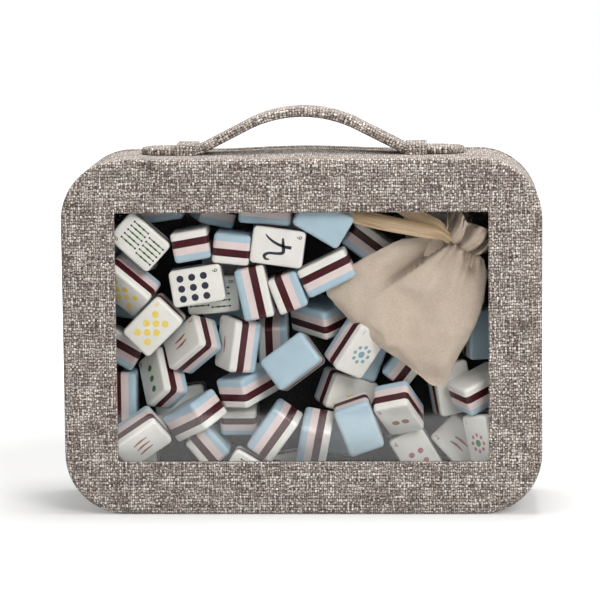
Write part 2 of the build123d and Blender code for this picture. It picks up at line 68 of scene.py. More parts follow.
Pair = tuple[float, float]
Triple = tuple[float, float, float]
Colour = tuple[float, float, float, float]
Piece = bpy.types.Object
Node = bpy.types.Node
Socket = bpy.types.NodeSocket

log = logging.getLogger("mahjong_case")


def shade(red: float, green: float, blue: float) -> Colour:
    """Colour from 0 to 255 steps, as a shader takes it.

    Args:
        red, green, blue: The colour's parts, from 0 to 255.

    Returns:
        The linear colour, opaque.
    """
    linear = []
    for step in (red, green, blue):
        value = step / 255
        linear.append(value / 12.92 if value <= 0.04045 else ((value + 0.055) / 1.055) ** 2.4)
    return (linear[0], linear[1], linear[2], 1.0)


def smooth_step(value: float, low: float, high: float) -> float:
    """Soft rise from 0 at low to 1 at high.

    Args:
        value: Where on the rise.
        low: Where it starts.
        high: Where it ends.

    Returns:
        A share from 0 to 1.
    """
    share = min(max((value - low) / (high - low), 0.0), 1.0)
    return share * share * (3 - 2 * share)


def tinted(colour: Colour, factor: float, lift: float = 0.0) -> Colour:
    """Colour made darker or paler by a factor."""
    return tuple(min(part * factor + lift, 1.0) for part in colour[:3]) + (1.0,)


def in_metres(points: Sequence[Triple]) -> list[Triple]:
    """Points given in millimetres, as a mesh takes them."""
    return [tuple(value * MM for value in point) for point in points]


def placed(name: str, data: bpy.types.ID) -> Piece:
    """New object in the scene.

    Args:
        name: The object's name.
        data: Its mesh, curve, lamp or camera.

    Returns:
        The object, at the origin.
    """
    made = bpy.data.objects.new(name, data)
    bpy.context.scene.collection.objects.link(made)
    return made


# ---- node wiring
class Wiring:
    """Adds nodes to one tree and joins them."""

    def __init__(self, tree: bpy.types.NodeTree) -> None:
        """Keep the tree that the nodes go in."""
        self.tree = tree

    def add(self, kind: str, **settings: object) -> Node:
        """Add a node.

        Args:
            kind: The node's type name.
            settings: Values of the node's own properties.

        Returns:
            The new node.
        """
        node = self.tree.nodes.new(kind)
        for name, value in settings.items():
            setattr(node, name, value)
        return node

    def feed(self, value: object, socket: Socket) -> None:
        """Join an output to a socket, or set the socket to a plain value.

        Args:
            value: An output, a plain value, or none to leave the socket alone.
            socket: The input.
        """
        if isinstance(value, Socket):
            self.tree.links.new(value, socket)
        elif value is not None:
            socket.default_value = value

    def wire(self, node: Node, values: dict[str, object]) -> None:
        """Feed several sockets of a node by name."""
        for name, value in values.items():
            self.feed(value, node.inputs[name])

    def math(self, operation: str, *values: object) -> Socket:
        """Number from one to three numbers.

        Args:
            operation: The node's operation.
            values: Numbers or outputs.

        Returns:
            The node's output.
        """
        node = self.add("ShaderNodeMath", operation=operation)
        for value, socket in zip(values, node.inputs):
            self.feed(value, socket)
        return node.outputs[0]

    def plus(self, first: object, second: object) -> Socket:
        """Sum of two numbers."""
        return self.math("ADD", first, second)

    def minus(self, first: object, second: object) -> Socket:
        """First number without the second."""
        return self.math("SUBTRACT", first, second)

    def times(self, first: object, second: object) -> Socket:
        """Product of two numbers."""
        return self.math("MULTIPLY", first, second)

    def wave(self, value: object, length: float) -> Socket:
        """Wave from -1 to 1 with a given length."""
        return self.math("SINE", self.times(value, 2 * math.pi / length))

    def vector(self, operation: str, *values: object) -> Socket:
        """Vector from one or two vectors.

        Args:
            operation: The node's operation.
            values: Vectors or outputs.

        Returns:
            The node's output.
        """
        node = self.add("ShaderNodeVectorMath", operation=operation)
        for value, socket in zip(values, node.inputs):
            self.feed(value, socket)
        return node.outputs[0]

    def scaled(self, vector: object, factors: Triple) -> Socket:
        """Vector times a factor along each axis."""
        return self.vector("MULTIPLY", vector, factors)

    def split(self, vector: object) -> tuple[Socket, ...]:
        """The three parts of a vector.

        Args:
            vector: The vector, as an output.

        Returns:
            The three outputs.
        """
        node = self.add("ShaderNodeSeparateXYZ")
        self.feed(vector, node.inputs[0])
        return tuple(node.outputs)

    def combine(self, x: object = 0.0, y: object = 0.0, z: object = 0.0) -> Socket:
        """Vector from its three parts.

        Args:
            x, y, z: Numbers or outputs.

        Returns:
            The node's output.
        """
        node = self.add("ShaderNodeCombineXYZ")
        for value, socket in zip((x, y, z), node.inputs):
            self.feed(value, socket)
        return node.outputs[0]

    def noise(self, vector: object, scale: float, detail: float = 2.0) -> Socket:
        """Smooth noise from 0 to 1.

        Args:
            vector: Where, as an output.
            scale: Waves in each unit of length.
            detail: Layers of finer noise.

        Returns:
            The node's output.
        """
        node = self.add("ShaderNodeTexNoise")
        self.wire(node, {"Vector": vector, "Scale": scale, "Detail": detail})
        return node.outputs["Fac"]

    def blend(self, share: object, first: object, second: object) -> Socket:
        """Colour between two colours.

        Args:
            share: How much of the second.
            first: Colour at 0.
            second: Colour at 1.

        Returns:
            The node's output.
        """
        node = self.add("ShaderNodeMix", data_type="RGBA")
        self.feed(share, node.inputs[0])
        self.feed(first, node.inputs[6])
        self.feed(second, node.inputs[7])
        return node.outputs[2]

    def between(self, share: object, first: object, second: object) -> Socket:
        """Number between two numbers.

        Args:
            share: How much of the second.
            first: Number at 0.
            second: Number at 1.

        Returns:
            The node's output.
        """
        node = self.add("ShaderNodeMix", data_type="FLOAT")
        self.feed(share, node.inputs[0])
        self.feed(first, node.inputs[2])
        self.feed(second, node.inputs[3])
        return node.outputs[0]

    def ramp(self, value: object, stops: Sequence[tuple[float, Colour]]) -> Socket:
        """Colour from a number, by way of stops.

        Args:
            value: The number.
            stops: Places from 0 to 1, each with its colour.

        Returns:
            The node's output.
        """
        node = self.add("ShaderNodeValToRGB")
        self.feed(value, node.inputs[0])
        elements = node.color_ramp.elements
        while len(elements) < len(stops):
            elements.new(0.5)
        for element, (place, colour) in zip(elements, stops):
            element.position = place
            element.color = colour
        return node.outputs[0]

    def bump(self, height: object, strength: float, depth: float) -> Socket:
        """Normal of a surface that a height roughens, with the depth in millimetres.

        Args:
            height: The height, from 0 to 1.
            strength: How much of it shows.
            depth: The roughness in millimetres.

        Returns:
            The normal.
        """
        node = self.add("ShaderNodeBump")
        self.wire(node, {"Strength": strength, "Distance": depth * MM, "Height": height})
        return node.outputs[0]

    def place(self) -> Socket:
        """The point of the object, in millimetres."""
        node = self.add("ShaderNodeTexCoord")
        return self.scaled(node.outputs["Object"], (1 / MM, 1 / MM, 1 / MM))

    def weave(self) -> Socket:
        """The point of the cloth, in millimetres along its two yarns."""
        return self.add("ShaderNodeUVMap", uv_map=WEAVE_LAYER).outputs[0]


def new_material(name: str) -> tuple[bpy.types.Material, Wiring, Node]:
    """Make a material.

    Args:
        name: The material's name.

    Returns:
        The material, the wiring of its tree, and its shader.
    """
    material = bpy.data.materials.new(name)
    material.use_nodes = True
    return material, Wiring(material.node_tree), material.node_tree.nodes["Principled BSDF"]


# ---- finishes
@dataclass(frozen=True)
class Finish:
    """What a surface is made of."""

    name: str
    slot: str

    def dress(self, wiring: Wiring) -> dict[str, object]:
        """What goes in the shader's sockets.

        Args:
            wiring: The material's tree.

        Returns:
            A plain value or an output for each socket, by the socket's name.
        """
        raise NotImplementedError

    def material(self) -> bpy.types.Material:
        """The finish's material, made on first use."""
        known = bpy.data.materials.get(self.name)
        if known:
            return known
        material, wiring, shader = new_material(self.name)
        wiring.wire(shader, self.dress(wiring))
        return material


@dataclass(frozen=True)
class Tweed(Finish):
    """Plain weave of thick uneven yarns in cream, taupe and brown."""

    pitch: Pair = (1.31, 1.79)
    lean: float = 1.1
    dark: Colour = shade(52, 42, 38)
    brown: Colour = shade(110, 96, 89)
    taupe: Colour = shade(160, 146, 137)
    cream: Colour = shade(248, 240, 231)
    # gap: painted shade in the hollows between the yarns
    gap: Colour = shade(30, 23, 21)
    yarn_share: float = 0.62
    slub_share: float = 0.58
    fibre_share: float = 0.34
    cloud_share: float = 0.06
    fuzz: float = 0.45
    relief: float = 0.55

    @staticmethod
    def rounded(wiring: Wiring, place: object, spread: float, power: float) -> Socket:
        """1 at the middle of a yarn, and less to its sides."""
        return wiring.minus(1.0, wiring.math("POWER", wiring.math("ABSOLUTE", wiring.times(place, spread)), power))

    def yarns(self, wiring: Wiring) -> tuple[Socket, ...]:
        """Weave of the two sets of yarns.

        Args:
            wiring: The tree to build in.

        Returns:
            The yarn's own shade from 0 to 1, and its height.
        """
        raw = wiring.scaled(wiring.weave(), (1 / self.pitch[0], 1 / self.pitch[1], 0))
        sway = wiring.noise(wiring.scaled(raw, (0.31, 0.37, 1)), 1.0, 1.0)
        drift = wiring.noise(wiring.vector("ADD", raw, (71.0, 13.0, 0.0)), 0.33, 1.0)
        lean = wiring.combine(wiring.times(sway, self.lean), wiring.times(drift, self.lean))
        across_x, across_z, _ = wiring.split(wiring.vector("ADD", raw, lean))
        warp, weft = wiring.math("FLOOR", across_x), wiring.math("FLOOR", across_z)
        in_warp = wiring.minus(wiring.math("FRACT", across_x), 0.5)
        in_weft = wiring.minus(wiring.math("FRACT", across_z), 0.5)
        on_top = wiring.math("FLOORED_MODULO", wiring.plus(warp, weft), 2.0)
        warp_place = wiring.combine(wiring.times(warp, 7.31), wiring.times(across_z, 0.13))
        weft_place = wiring.combine(wiring.times(across_x, 0.13), wiring.times(weft, 5.87), 40.0)
        yarn_shade = wiring.between(on_top, wiring.noise(warp_place, 1.0), wiring.noise(weft_place, 1.0))
        round_top = self.rounded(wiring, wiring.between(on_top, in_warp, in_weft), 2.0, 2.4)
        dive = self.rounded(wiring, wiring.between(on_top, in_weft, in_warp), 1.84, 3.0)
        return yarn_shade, wiring.math("MAXIMUM", wiring.times(round_top, dive), 0.0)

    def dress(self, wiring: Wiring) -> dict[str, object]:
        """Each yarn in its own shade, with painted shade in the gaps between yarns."""
        yarn_shade, height = self.yarns(wiring)
        fibres = wiring.noise(wiring.weave(), 3.1, 3.0)
        slubs = wiring.noise(wiring.weave(), 0.85, 1.0)
        cloud = wiring.noise(wiring.weave(), 0.05)
        mottle: object = 0.5
        layers = (yarn_shade, slubs, fibres, cloud)
        for layer, share in zip(layers, (self.yarn_share, self.slub_share, self.fibre_share, self.cloud_share)):
            mottle = wiring.plus(mottle, wiring.times(wiring.minus(layer, 0.5), share))
        yarn = wiring.ramp(mottle, [(0.28, self.dark), (0.40, self.brown), (0.50, self.taupe), (0.64, self.cream)])
        # painted shade: the gap colour where the yarns are low, by their height
        lit = wiring.ramp(height, [(0.06, (0, 0, 0, 1)), (0.62, (1, 1, 1, 1))])
        rough = wiring.plus(height, wiring.times(fibres, self.fuzz))
        return {
            "Base Color": wiring.blend(lit, self.gap, yarn),
            "Roughness": 0.92,
            "Specular IOR Level": 0.18,
            "Sheen Weight": 0.18,
            "Sheen Roughness": 0.6,
            "Normal": wiring.bump(rough, 0.75, self.relief),
        }


@dataclass(frozen=True)
class Cotton(Finish):
    """Fine undyed cotton with a speckled plain weave."""

    light: Colour = shade(217, 202, 185)
    dark: Colour = shade(190, 172, 154)
    # colour of the painted shade in folds and pleats
    painted_fold_shade: Colour = shade(92, 76, 62)
    thread: float = 0.62
    bias: float = math.radians(42)

    def dress(self, wiring: Wiring) -> dict[str, object]:
        """Speckled cloth with raised threads, and painted shade in its folds."""
        place = wiring.place()
        x, _, z = wiring.split(place)
        speckle = wiring.noise(place, 1.9, 3.0)
        tone = wiring.plus(wiring.times(speckle, 0.8), wiring.times(wiring.noise(place, 0.06), 0.2))
        cloth = wiring.ramp(tone, [(0.34, self.dark), (0.66, self.light)])
        # how much painted shade each point gets, read from its point attribute
        fold = wiring.add("ShaderNodeAttribute", attribute_name=PAINTED_SHADE_LAYER).outputs["Fac"]
        cosine, sine = math.cos(self.bias), math.sin(self.bias)
        along = wiring.plus(wiring.times(x, cosine), wiring.times(z, sine))
        across = wiring.minus(wiring.times(z, cosine), wiring.times(x, sine))
        threads = wiring.times(wiring.wave(along, self.thread), wiring.wave(across, self.thread))
        height = wiring.plus(wiring.times(threads, 0.35), speckle)
        return {
            "Base Color": wiring.blend(fold, cloth, self.painted_fold_shade),
            "Roughness": 0.9,
            "Specular IOR Level": 0.2,
            "Sheen Weight": 0.15,
            "Normal": wiring.bump(height, 0.4, 0.22),
        }


@dataclass(frozen=True)
class Satin(Finish):
    """Woven satin tape with fine lines along it."""

    light: Colour
    dark: Colour

    def dress(self, wiring: Wiring) -> dict[str, object]:
        """Fine threads along the tape."""
        threads = wiring.noise(wiring.scaled(wiring.weave(), (3.2, 0.05, 1)), 1.0, 3.0)
        return {
            "Base Color": wiring.ramp(threads, [(0.3, self.dark), (0.62, self.light)]),
            "Roughness": 0.42,
            "Anisotropic": 0.5,
            "Sheen Weight": 0.2,
            "Normal": wiring.bump(threads, 0.25, 0.12),
        }


@dataclass(frozen=True)
class Resin(Finish):
    """Cast and polished tile resin."""

    colour: Colour
    clouding: float = 0.93
    polish: Pair = (0.24, 0.38)

    def dress(self, wiring: Wiring) -> dict[str, object]:
        """Faint clouds in the colour and faint wear in the polish."""
        place = wiring.place()
        cloud = wiring.noise(place, 0.09)
        wear = wiring.noise(place, 0.8, 4.0)
        return {
            "Base Color": wiring.ramp(cloud, [(0.35, tinted(self.colour, self.clouding)), (0.65, self.colour)]),
            "Roughness": wiring.between(wear, *self.polish),
            "IOR": 1.5,
            "Specular IOR Level": 0.3,
            "Coat Weight": 0.1,
            "Coat Roughness": 0.12,
            "Normal": wiring.bump(wear, 0.06, 0.05),
        }


@dataclass(frozen=True)
class Ink(Finish):
    """Paint in the engraved marks of a tile."""

    colour: Colour

    def dress(self, wiring: Wiring) -> dict[str, object]:
        """Paint laid on a little unevenly."""
        patch = wiring.noise(wiring.place(), 1.3, 3.0)
        return {
            "Base Color": wiring.ramp(patch, [(0.4, self.colour), (0.75, tinted(self.colour, 1.25, 0.01))]),
            "Roughness": 0.5,
            "Normal": wiring.bump(patch, 0.15, 0.05),
        }


@dataclass(frozen=True)
class ClearFilm(Finish):
    """Clear window film, which mirrors a little of what lies in front of it."""

    mirror: float = 0.045

    def dress(self, wiring: Wiring) -> dict[str, object]:
        """Nearly all light let through, and the rest mirrored."""
        scuffs = wiring.noise(wiring.scaled(wiring.place(), (0.02, 1, 0.3)), 1.0, 3.0)
        return {
            "Base Color": (1, 1, 1, 1),
            "Metallic": 1.0,
            "Alpha": self.mirror,
            "Roughness": wiring.between(scuffs, 0.03, 0.07),
        }


@dataclass(frozen=True)
class Metal(Finish):
    """Plated die cast metal."""

    colour: Colour
    roughness: float

    def dress(self, wiring: Wiring) -> dict[str, object]:
        """Faintly brushed metal."""
        grain = wiring.noise(wiring.scaled(wiring.place(), (6, 6, 0.8)), 1.0, 4.0)
        return {
            "Roughness": wiring.between(grain, self.roughness * 0.7, self.roughness * 1.5),
            "Base Color": wiring.ramp(grain, [(0.35, tinted(self.colour, 0.8)), (0.6, self.colour)]),
            "Metallic": 1.0,
            "Normal": wiring.bump(grain, 0.08, 0.05),
        }


@dataclass(frozen=True)
class Woven(Finish):
    """Thin woven cloth or tape seen by its place, for linings and tapes."""

    light: Colour
    dark: Colour
    thread: float = 0.8

    def dress(self, wiring: Wiring) -> dict[str, object]:
        """Two crossing sets of threads."""
        place = wiring.place()
        x, y, z = wiring.split(place)
        level = wiring.wave(wiring.plus(x, z), self.thread)
        deep = wiring.wave(wiring.plus(y, wiring.times(z, 0.5)), self.thread)
        threads = wiring.times(level, deep)
        patch = wiring.noise(place, 0.7, 3.0)
        tone = wiring.plus(patch, wiring.times(threads, 0.1))
        return {
            "Base Color": wiring.ramp(tone, [(0.35, self.dark), (0.65, self.light)]),
            "Roughness": 0.88,
            "Normal": wiring.bump(wiring.plus(threads, patch), 0.3, 0.12),
        }


@dataclass(frozen=True)
class Stiffener(Finish):
    """Grey pressed board inside the walls."""

    colour: Colour = shade(150, 146, 140)

    def dress(self, wiring: Wiring) -> dict[str, object]:
        """Flecks in the board."""
        fleck = wiring.noise(wiring.place(), 0.9, 5.0)
        return {
            "Base Color": wiring.ramp(fleck, [(0.35, tinted(self.colour, 0.7)), (0.55, self.colour)]),
            "Roughness": 0.85,
            "Normal": wiring.bump(fleck, 0.2, 0.1),
        }


TWEED = Tweed("tweed", "tweed_fabric")
COTTON = Cotton("undyed_cotton", "pouch_cotton")
SATIN = Satin("tan_satin", "pouch_ribbon", shade(190, 163, 126), shade(142, 115, 82))
TILE_WHITE = Resin("tile_white", "tile_resin", shade(240, 238, 231))
TILE_RED = Resin("tile_burgundy", "tile_resin", shade(72, 22, 28))
TILE_PINK = Resin("tile_pink", "tile_resin", shade(233, 216, 213))
TILE_BLUE = Resin("tile_blue", "tile_resin", shade(180, 204, 216))
FILM = ClearFilm("window_film", "clear_film")
LINING = Woven("dark_lining", "lining_fabric", shade(54, 54, 56), shade(34, 35, 38))
TAPE = Woven("zipper_tape_cloth", "zipper_tape", shade(196, 184, 174), shade(160, 147, 138), 0.7)
HINGE_CLOTH = Woven("hinge_cloth", "zipper_tape", shade(176, 163, 154), shade(136, 123, 115), 1.1)
TEETH = Resin("zipper_teeth_resin", "zipper_teeth", shade(178, 165, 155))
NICKEL = Metal("nickel", "zipper_metal", shade(188, 184, 180), 0.25)
BOARD = Stiffener("stiffener_board", "stiffener")


class InkTone(Enum):
    """Colours of the painted marks."""

    NAVY = Ink("ink_navy", "tile_resin", shade(26, 32, 48))
    GREEN = Ink("ink_green", "tile_resin", shade(62, 112, 34))
    YELLOW = Ink("ink_yellow", "tile_resin", shade(238, 208, 104))
    BROWN = Ink("ink_brown", "tile_resin", shade(150, 82, 58))
    TEAL = Ink("ink_teal", "tile_resin", shade(128, 168, 178))
    ROSE = Ink("ink_rose", "tile_resin", shade(176, 104, 108))


# ---- lines
def between_points(one: Pair, two: Pair, share: float) -> Pair:
    """Point part of the way from one to another."""
    return one[0] + (two[0] - one[0]) * share, one[1] + (two[1] - one[1]) * share


def around(start: float, stop: float, steps: int) -> list[float]:
    """Evenly spread numbers from start to stop, both included."""
    return [start + (stop - start) * step / steps for step in range(steps + 1)]


def walk(points: Sequence[Sequence[float]]) -> list[float]:
    """Length walked to each point of a ring.

    Args:
        points: The ring's points in order.

    Returns:
        One length for each point, and the whole way round last.
    """
    walked = [0.0]
    for one, two in zip(points, [*points[1:], points[0]]):
        walked.append(walked[-1] + math.dist(one, two))
    return walked


def quarter(radius: float, steps: int) -> list[Pair]:
    """Inset and rise along a rounded edge, from its flat face to its side."""
    turns = around(0, math.pi / 2, steps)
    return [(radius * (1 - math.sin(turn)), radius * (1 - math.cos(turn))) for turn in turns]


def spline(before: Vector, start: Vector, stop: Vector, after: Vector, share: float) -> Vector:
    """Point of a smooth line through four knots.

    Args:
        before: Knot before the span.
        start: Knot at the span's start.
        stop: Knot at the span's end.
        after: Knot after the span.
        share: How far along the span, from 0 to 1.

    Returns:
        The point.
    """
    return 0.5 * (
        2 * start
        + (stop - before) * share
        + (2 * before - 5 * start + 4 * stop - after) * share**2
        + (3 * start - before - 3 * stop + after) * share**3
    )


def smooth_line(knots: Sequence[Sequence[float]], steps: int) -> list[Vector]:
    """Smooth line through knots.

    Args:
        knots: Points that the line goes through.
        steps: How many steps it takes from one knot to the next.

    Returns:
        The line's points.
    """
    path = [Vector(knot) for knot in knots]
    path = [path[0] * 2 - path[1]] + path + [path[-1] * 2 - path[-2]]
    line: list[Vector] = []
    for index in range(1, len(path) - 2):
        line += [spline(*path[index - 1 : index + 3], share) for share in around(0, 1, steps)[:-1]]
    return line + [path[-2]]


def hill(distance: float, width: float) -> float:
    """Smooth fall on both sides, from 1 where the distance is 0."""
    return math.exp(-((distance / width) ** 2))


def fade(distance: float, length: float) -> float:
    """Fall with the distance, from 1 where it is 0 or less."""
    return math.exp(-max(distance, 0.0) / length)


# ---- meshes
@dataclass
class Draft:
    """Points, faces and weave coordinates of a piece before it is made, in millimetres."""

    points: list[Triple] = field(default_factory=list)
    faces: list[tuple[int, ...]] = field(default_factory=list)
    weave: list[list[Pair]] = field(default_factory=list)
    slots: list[int] = field(default_factory=list)

    def face(self, corners: Sequence[int], weave: Sequence[Pair] | None = None, slot: int = 0) -> None:
        """Add one face.

        Args:
            corners: Numbers of its points.
            weave: Weave coordinates of its corners.
            slot: Its material slot.
        """
        self.faces.append(tuple(corners))
        self.weave.append(list(weave) if weave else [(0.0, 0.0)] * len(corners))
        self.slots.append(slot)

    def loft(
        self,
        rings: Sequence[Sequence[Triple]],
        weave: Sequence[Sequence[Pair]] | None = None,
        slots: Sequence[int] | None = None,
        keep: Callable[[Vector], bool] | None = None,
    ) -> list[list[int]]:
        """Join closed rings of equally many points by quads.

        Args:
            rings: Points of each ring.
            weave: Weave coordinates of each ring, with one more column.
            slots: Material slot of each row of quads.
            keep: Says of a quad's middle whether the quad is made.

        Returns:
            The numbers of the points of each ring.
        """
        start = len(self.points)
        columns = len(rings[0])
        for ring in rings:
            self.points.extend(tuple(point) for point in ring)
        numbers = [list(range(start + row * columns, start + (row + 1) * columns)) for row in range(len(rings))]
        for row in range(len(rings) - 1):
            for column in range(columns):
                after = (column + 1) % columns
                near, far = numbers[row], numbers[row + 1]
                corners = (near[column], near[after], far[after], far[column])
                if keep and not keep(self.middle(corners)):
                    continue
                cloth = None
                if weave:
                    first, second = weave[row], weave[row + 1]
                    cloth = [first[column], first[column + 1], second[column + 1], second[column]]
                self.face(corners, cloth, slots[row] if slots else 0)
        return numbers

    def middle(self, numbers: Sequence[int]) -> Vector:
        """Mean of some of the points."""
        return sum((Vector(self.points[number]) for number in numbers), Vector()) / len(numbers)

    def cap(self, numbers: Sequence[int], weave: Sequence[Pair] | None = None, slot: int = 0) -> None:
        """Close a ring by a fan round its middle.

        Args:
            numbers: Numbers of the ring's points.
            weave: Weave coordinates of the ring.
            slot: The fan's material slot.
        """
        self.points.append(tuple(self.middle(numbers)))
        hub = len(self.points) - 1
        centre = (0.0, 0.0)
        if weave:
            centre = (sum(pair[0] for pair in weave) / len(weave), sum(pair[1] for pair in weave) / len(weave))
        for index, number in enumerate(numbers):
            after = (index + 1) % len(numbers)
            cloth = [weave[index], weave[after], centre] if weave else None
            self.face((number, numbers[after], hub), cloth, slot)

    def close(
        self,
        numbers: Sequence[Sequence[int]],
        weave: Sequence[Sequence[Pair]] | None = None,
        flat: bool = False,
    ) -> None:
        """Close both ends of a loft.

        Args:
            numbers: The numbers of the points of each ring.
            weave: Weave coordinates of each ring, with one more column.
            flat: Close by one flat face, or else by a fan.
        """
        for end in (0, -1):
            cloth = weave[end][:-1] if weave else None
            if flat:
                self.face(numbers[end], cloth)
            else:
                self.cap(numbers[end], cloth)

    def make(self, name: str, finishes: Sequence[Finish], crease: float) -> Piece:
        """Make the object.

        Args:
            name: The piece's name.
            finishes: One finish for each material slot.
            crease: Edges sharper than this many degrees stay sharp.

        Returns:
            The object, at the origin.
        """
        mesh = bpy.data.meshes.new(name)
        mesh.from_pydata(in_metres(self.points), [], self.faces)
        layer = mesh.uv_layers.new(name=WEAVE_LAYER)
        layer.data.foreach_set("uv", [value for cloth in self.weave for pair in cloth for value in pair])
        mesh.polygons.foreach_set("material_index", self.slots)
        turn_outward(mesh)
        mesh.polygons.foreach_set("use_smooth", [True] * len(mesh.polygons))
        mesh.set_sharp_from_angle(angle=math.radians(crease))
        for finish in finishes:
            mesh.materials.append(finish.material())
        made = placed(name, mesh)
        return made


def turn_outward(mesh: bpy.types.Mesh) -> None:
    """Point every face's normal out of the piece.

    Args:
        mesh: The piece's mesh.
    """
    shape = bmesh.new()
    shape.from_mesh(mesh)
    bmesh.ops.recalc_face_normals(shape, faces=shape.faces)
    shape.to_mesh(mesh)
    shape.free()


def paint_fold_shade(piece: Piece, painted_shades: Sequence[float]) -> None:
    """Store painted shade for each point of a piece, from 0 to 1, by how deep in a fold it lies."""
    layer = piece.data.attributes.new(PAINTED_SHADE_LAYER, "FLOAT", "POINT")
    layer.data.foreach_set("value", [min(max(depth, 0.0), 1.0) for depth in painted_shades])


def settled(name: str, source: Piece, finish: Finish) -> Piece:
    """Plain mesh object from another object's evaluated shape, which it replaces.

    Args:
        name: Name of the new piece.
        source: Object with modifiers.
        finish: The new piece's finish.

    Returns:
        The new object, without modifiers.
    """
    graph = bpy.context.evaluated_depsgraph_get()
    mesh = bpy.data.meshes.new_from_object(source.evaluated_get(graph))
    mesh.name = name
    bpy.data.objects.remove(source)
    mesh.materials.clear()
    mesh.materials.append(finish.material())
    made = placed(name, mesh)
    return made


def geometry_tree(name: str, sizes: dict[str, str]) -> tuple[Wiring, Node, Node]:
    """Make a tree that takes and gives a mesh.

    Args:
        name: The tree's name.
        sizes: Kind of socket of each further input, by its name.

    Returns:
        The wiring of the tree, its input node and its output node.
    """
    tree = bpy.data.node_groups.new(name, "GeometryNodeTree")
    tree.interface.new_socket("Geometry", in_out="INPUT", socket_type="NodeSocketGeometry")
    for word, kind in sizes.items():
        tree.interface.new_socket(word, in_out="INPUT", socket_type=kind)
    tree.interface.new_socket("Geometry", in_out="OUTPUT", socket_type="NodeSocketGeometry")
    wiring = Wiring(tree)
    return wiring, wiring.add("NodeGroupInput"), wiring.add("NodeGroupOutput")


def stamped_solids(wiring: Wiring, stamp: dict[str, object], finish: Finish) -> Socket:
    """Set a solid on every point.

    Args:
        wiring: The tree to build in.
        stamp: The points, the solid, its rotation and its scale, by socket name.
        finish: The solids' finish.

    Returns:
        The solids as one mesh.
    """
    stamps = wiring.add("GeometryNodeInstanceOnPoints")
    wiring.wire(stamps, stamp)
    plain = wiring.add("GeometryNodeRealizeInstances")
    wiring.wire(plain, {"Geometry": stamps.outputs["Instances"]})
    coat = wiring.add("GeometryNodeSetMaterial")
    wiring.wire(coat, {"Geometry": plain.outputs["Geometry"], "Material": finish.material()})
    return coat.outputs["Geometry"]


def run_tree(source: Piece, wiring: Wiring, sizes: dict[str, object]) -> None:
    """Run a tree on an object, with a value for each of its further inputs.

    Args:
        source: The object.
        wiring: Wiring of the tree.
        sizes: Value of each further input, by its name.
    """
    modifier = source.modifiers.new("tree", "NODES")
    modifier.node_group = wiring.tree
    sockets = {item.name: item.identifier for item in wiring.tree.interface.items_tree}
    for word, value in sizes.items():
        modifier[sockets[word]] = value


@dataclass(frozen=True)
class RoundedFrame:
    """Rectangle with four rounded corners, from its limits and radii.

    The radii go from the lower right corner anticlockwise.
    """

    low: Pair
    high: Pair
    radii: tuple[float, float, float, float]
    corner_steps: int = 12
    side_steps: int = 10

    def ring(self, inset: float = 0.0) -> list[Pair]:
        """Points round the frame, moved in by the inset.

        Args:
            inset: How far inside the outline.

        Returns:
            The points, anticlockwise from the lower right corner.
        """
        left, bottom = self.low[0] + inset, self.low[1] + inset
        right, top = self.high[0] - inset, self.high[1] - inset
        corners = []
        spots = ((right, bottom, -90), (right, top, 0), (left, top, 90), (left, bottom, 180))
        for (x, z, start), radius in zip(spots, self.radii):
            round_off = max(radius - inset, 0.02)
            middle_x = x - round_off if x == right else x + round_off
            middle_z = z - round_off if z == top else z + round_off
            arc = []
            for step in range(self.corner_steps + 1):
                angle = math.radians(start + 90 * step / self.corner_steps)
                arc.append((middle_x + round_off * math.cos(angle), middle_z + round_off * math.sin(angle)))
            corners.append(arc)
        points: list[Pair] = []
        for index, arc in enumerate(corners):
            points.extend(arc)
            following = corners[(index + 1) % 4][0]
            for step in range(1, self.side_steps):
                points.append(between_points(arc[-1], following, step / self.side_steps))
        return points

    def travel(self) -> list[float]:
        """Length walked to each point of the ring, with the whole way round last."""
        return walk(self.ring())


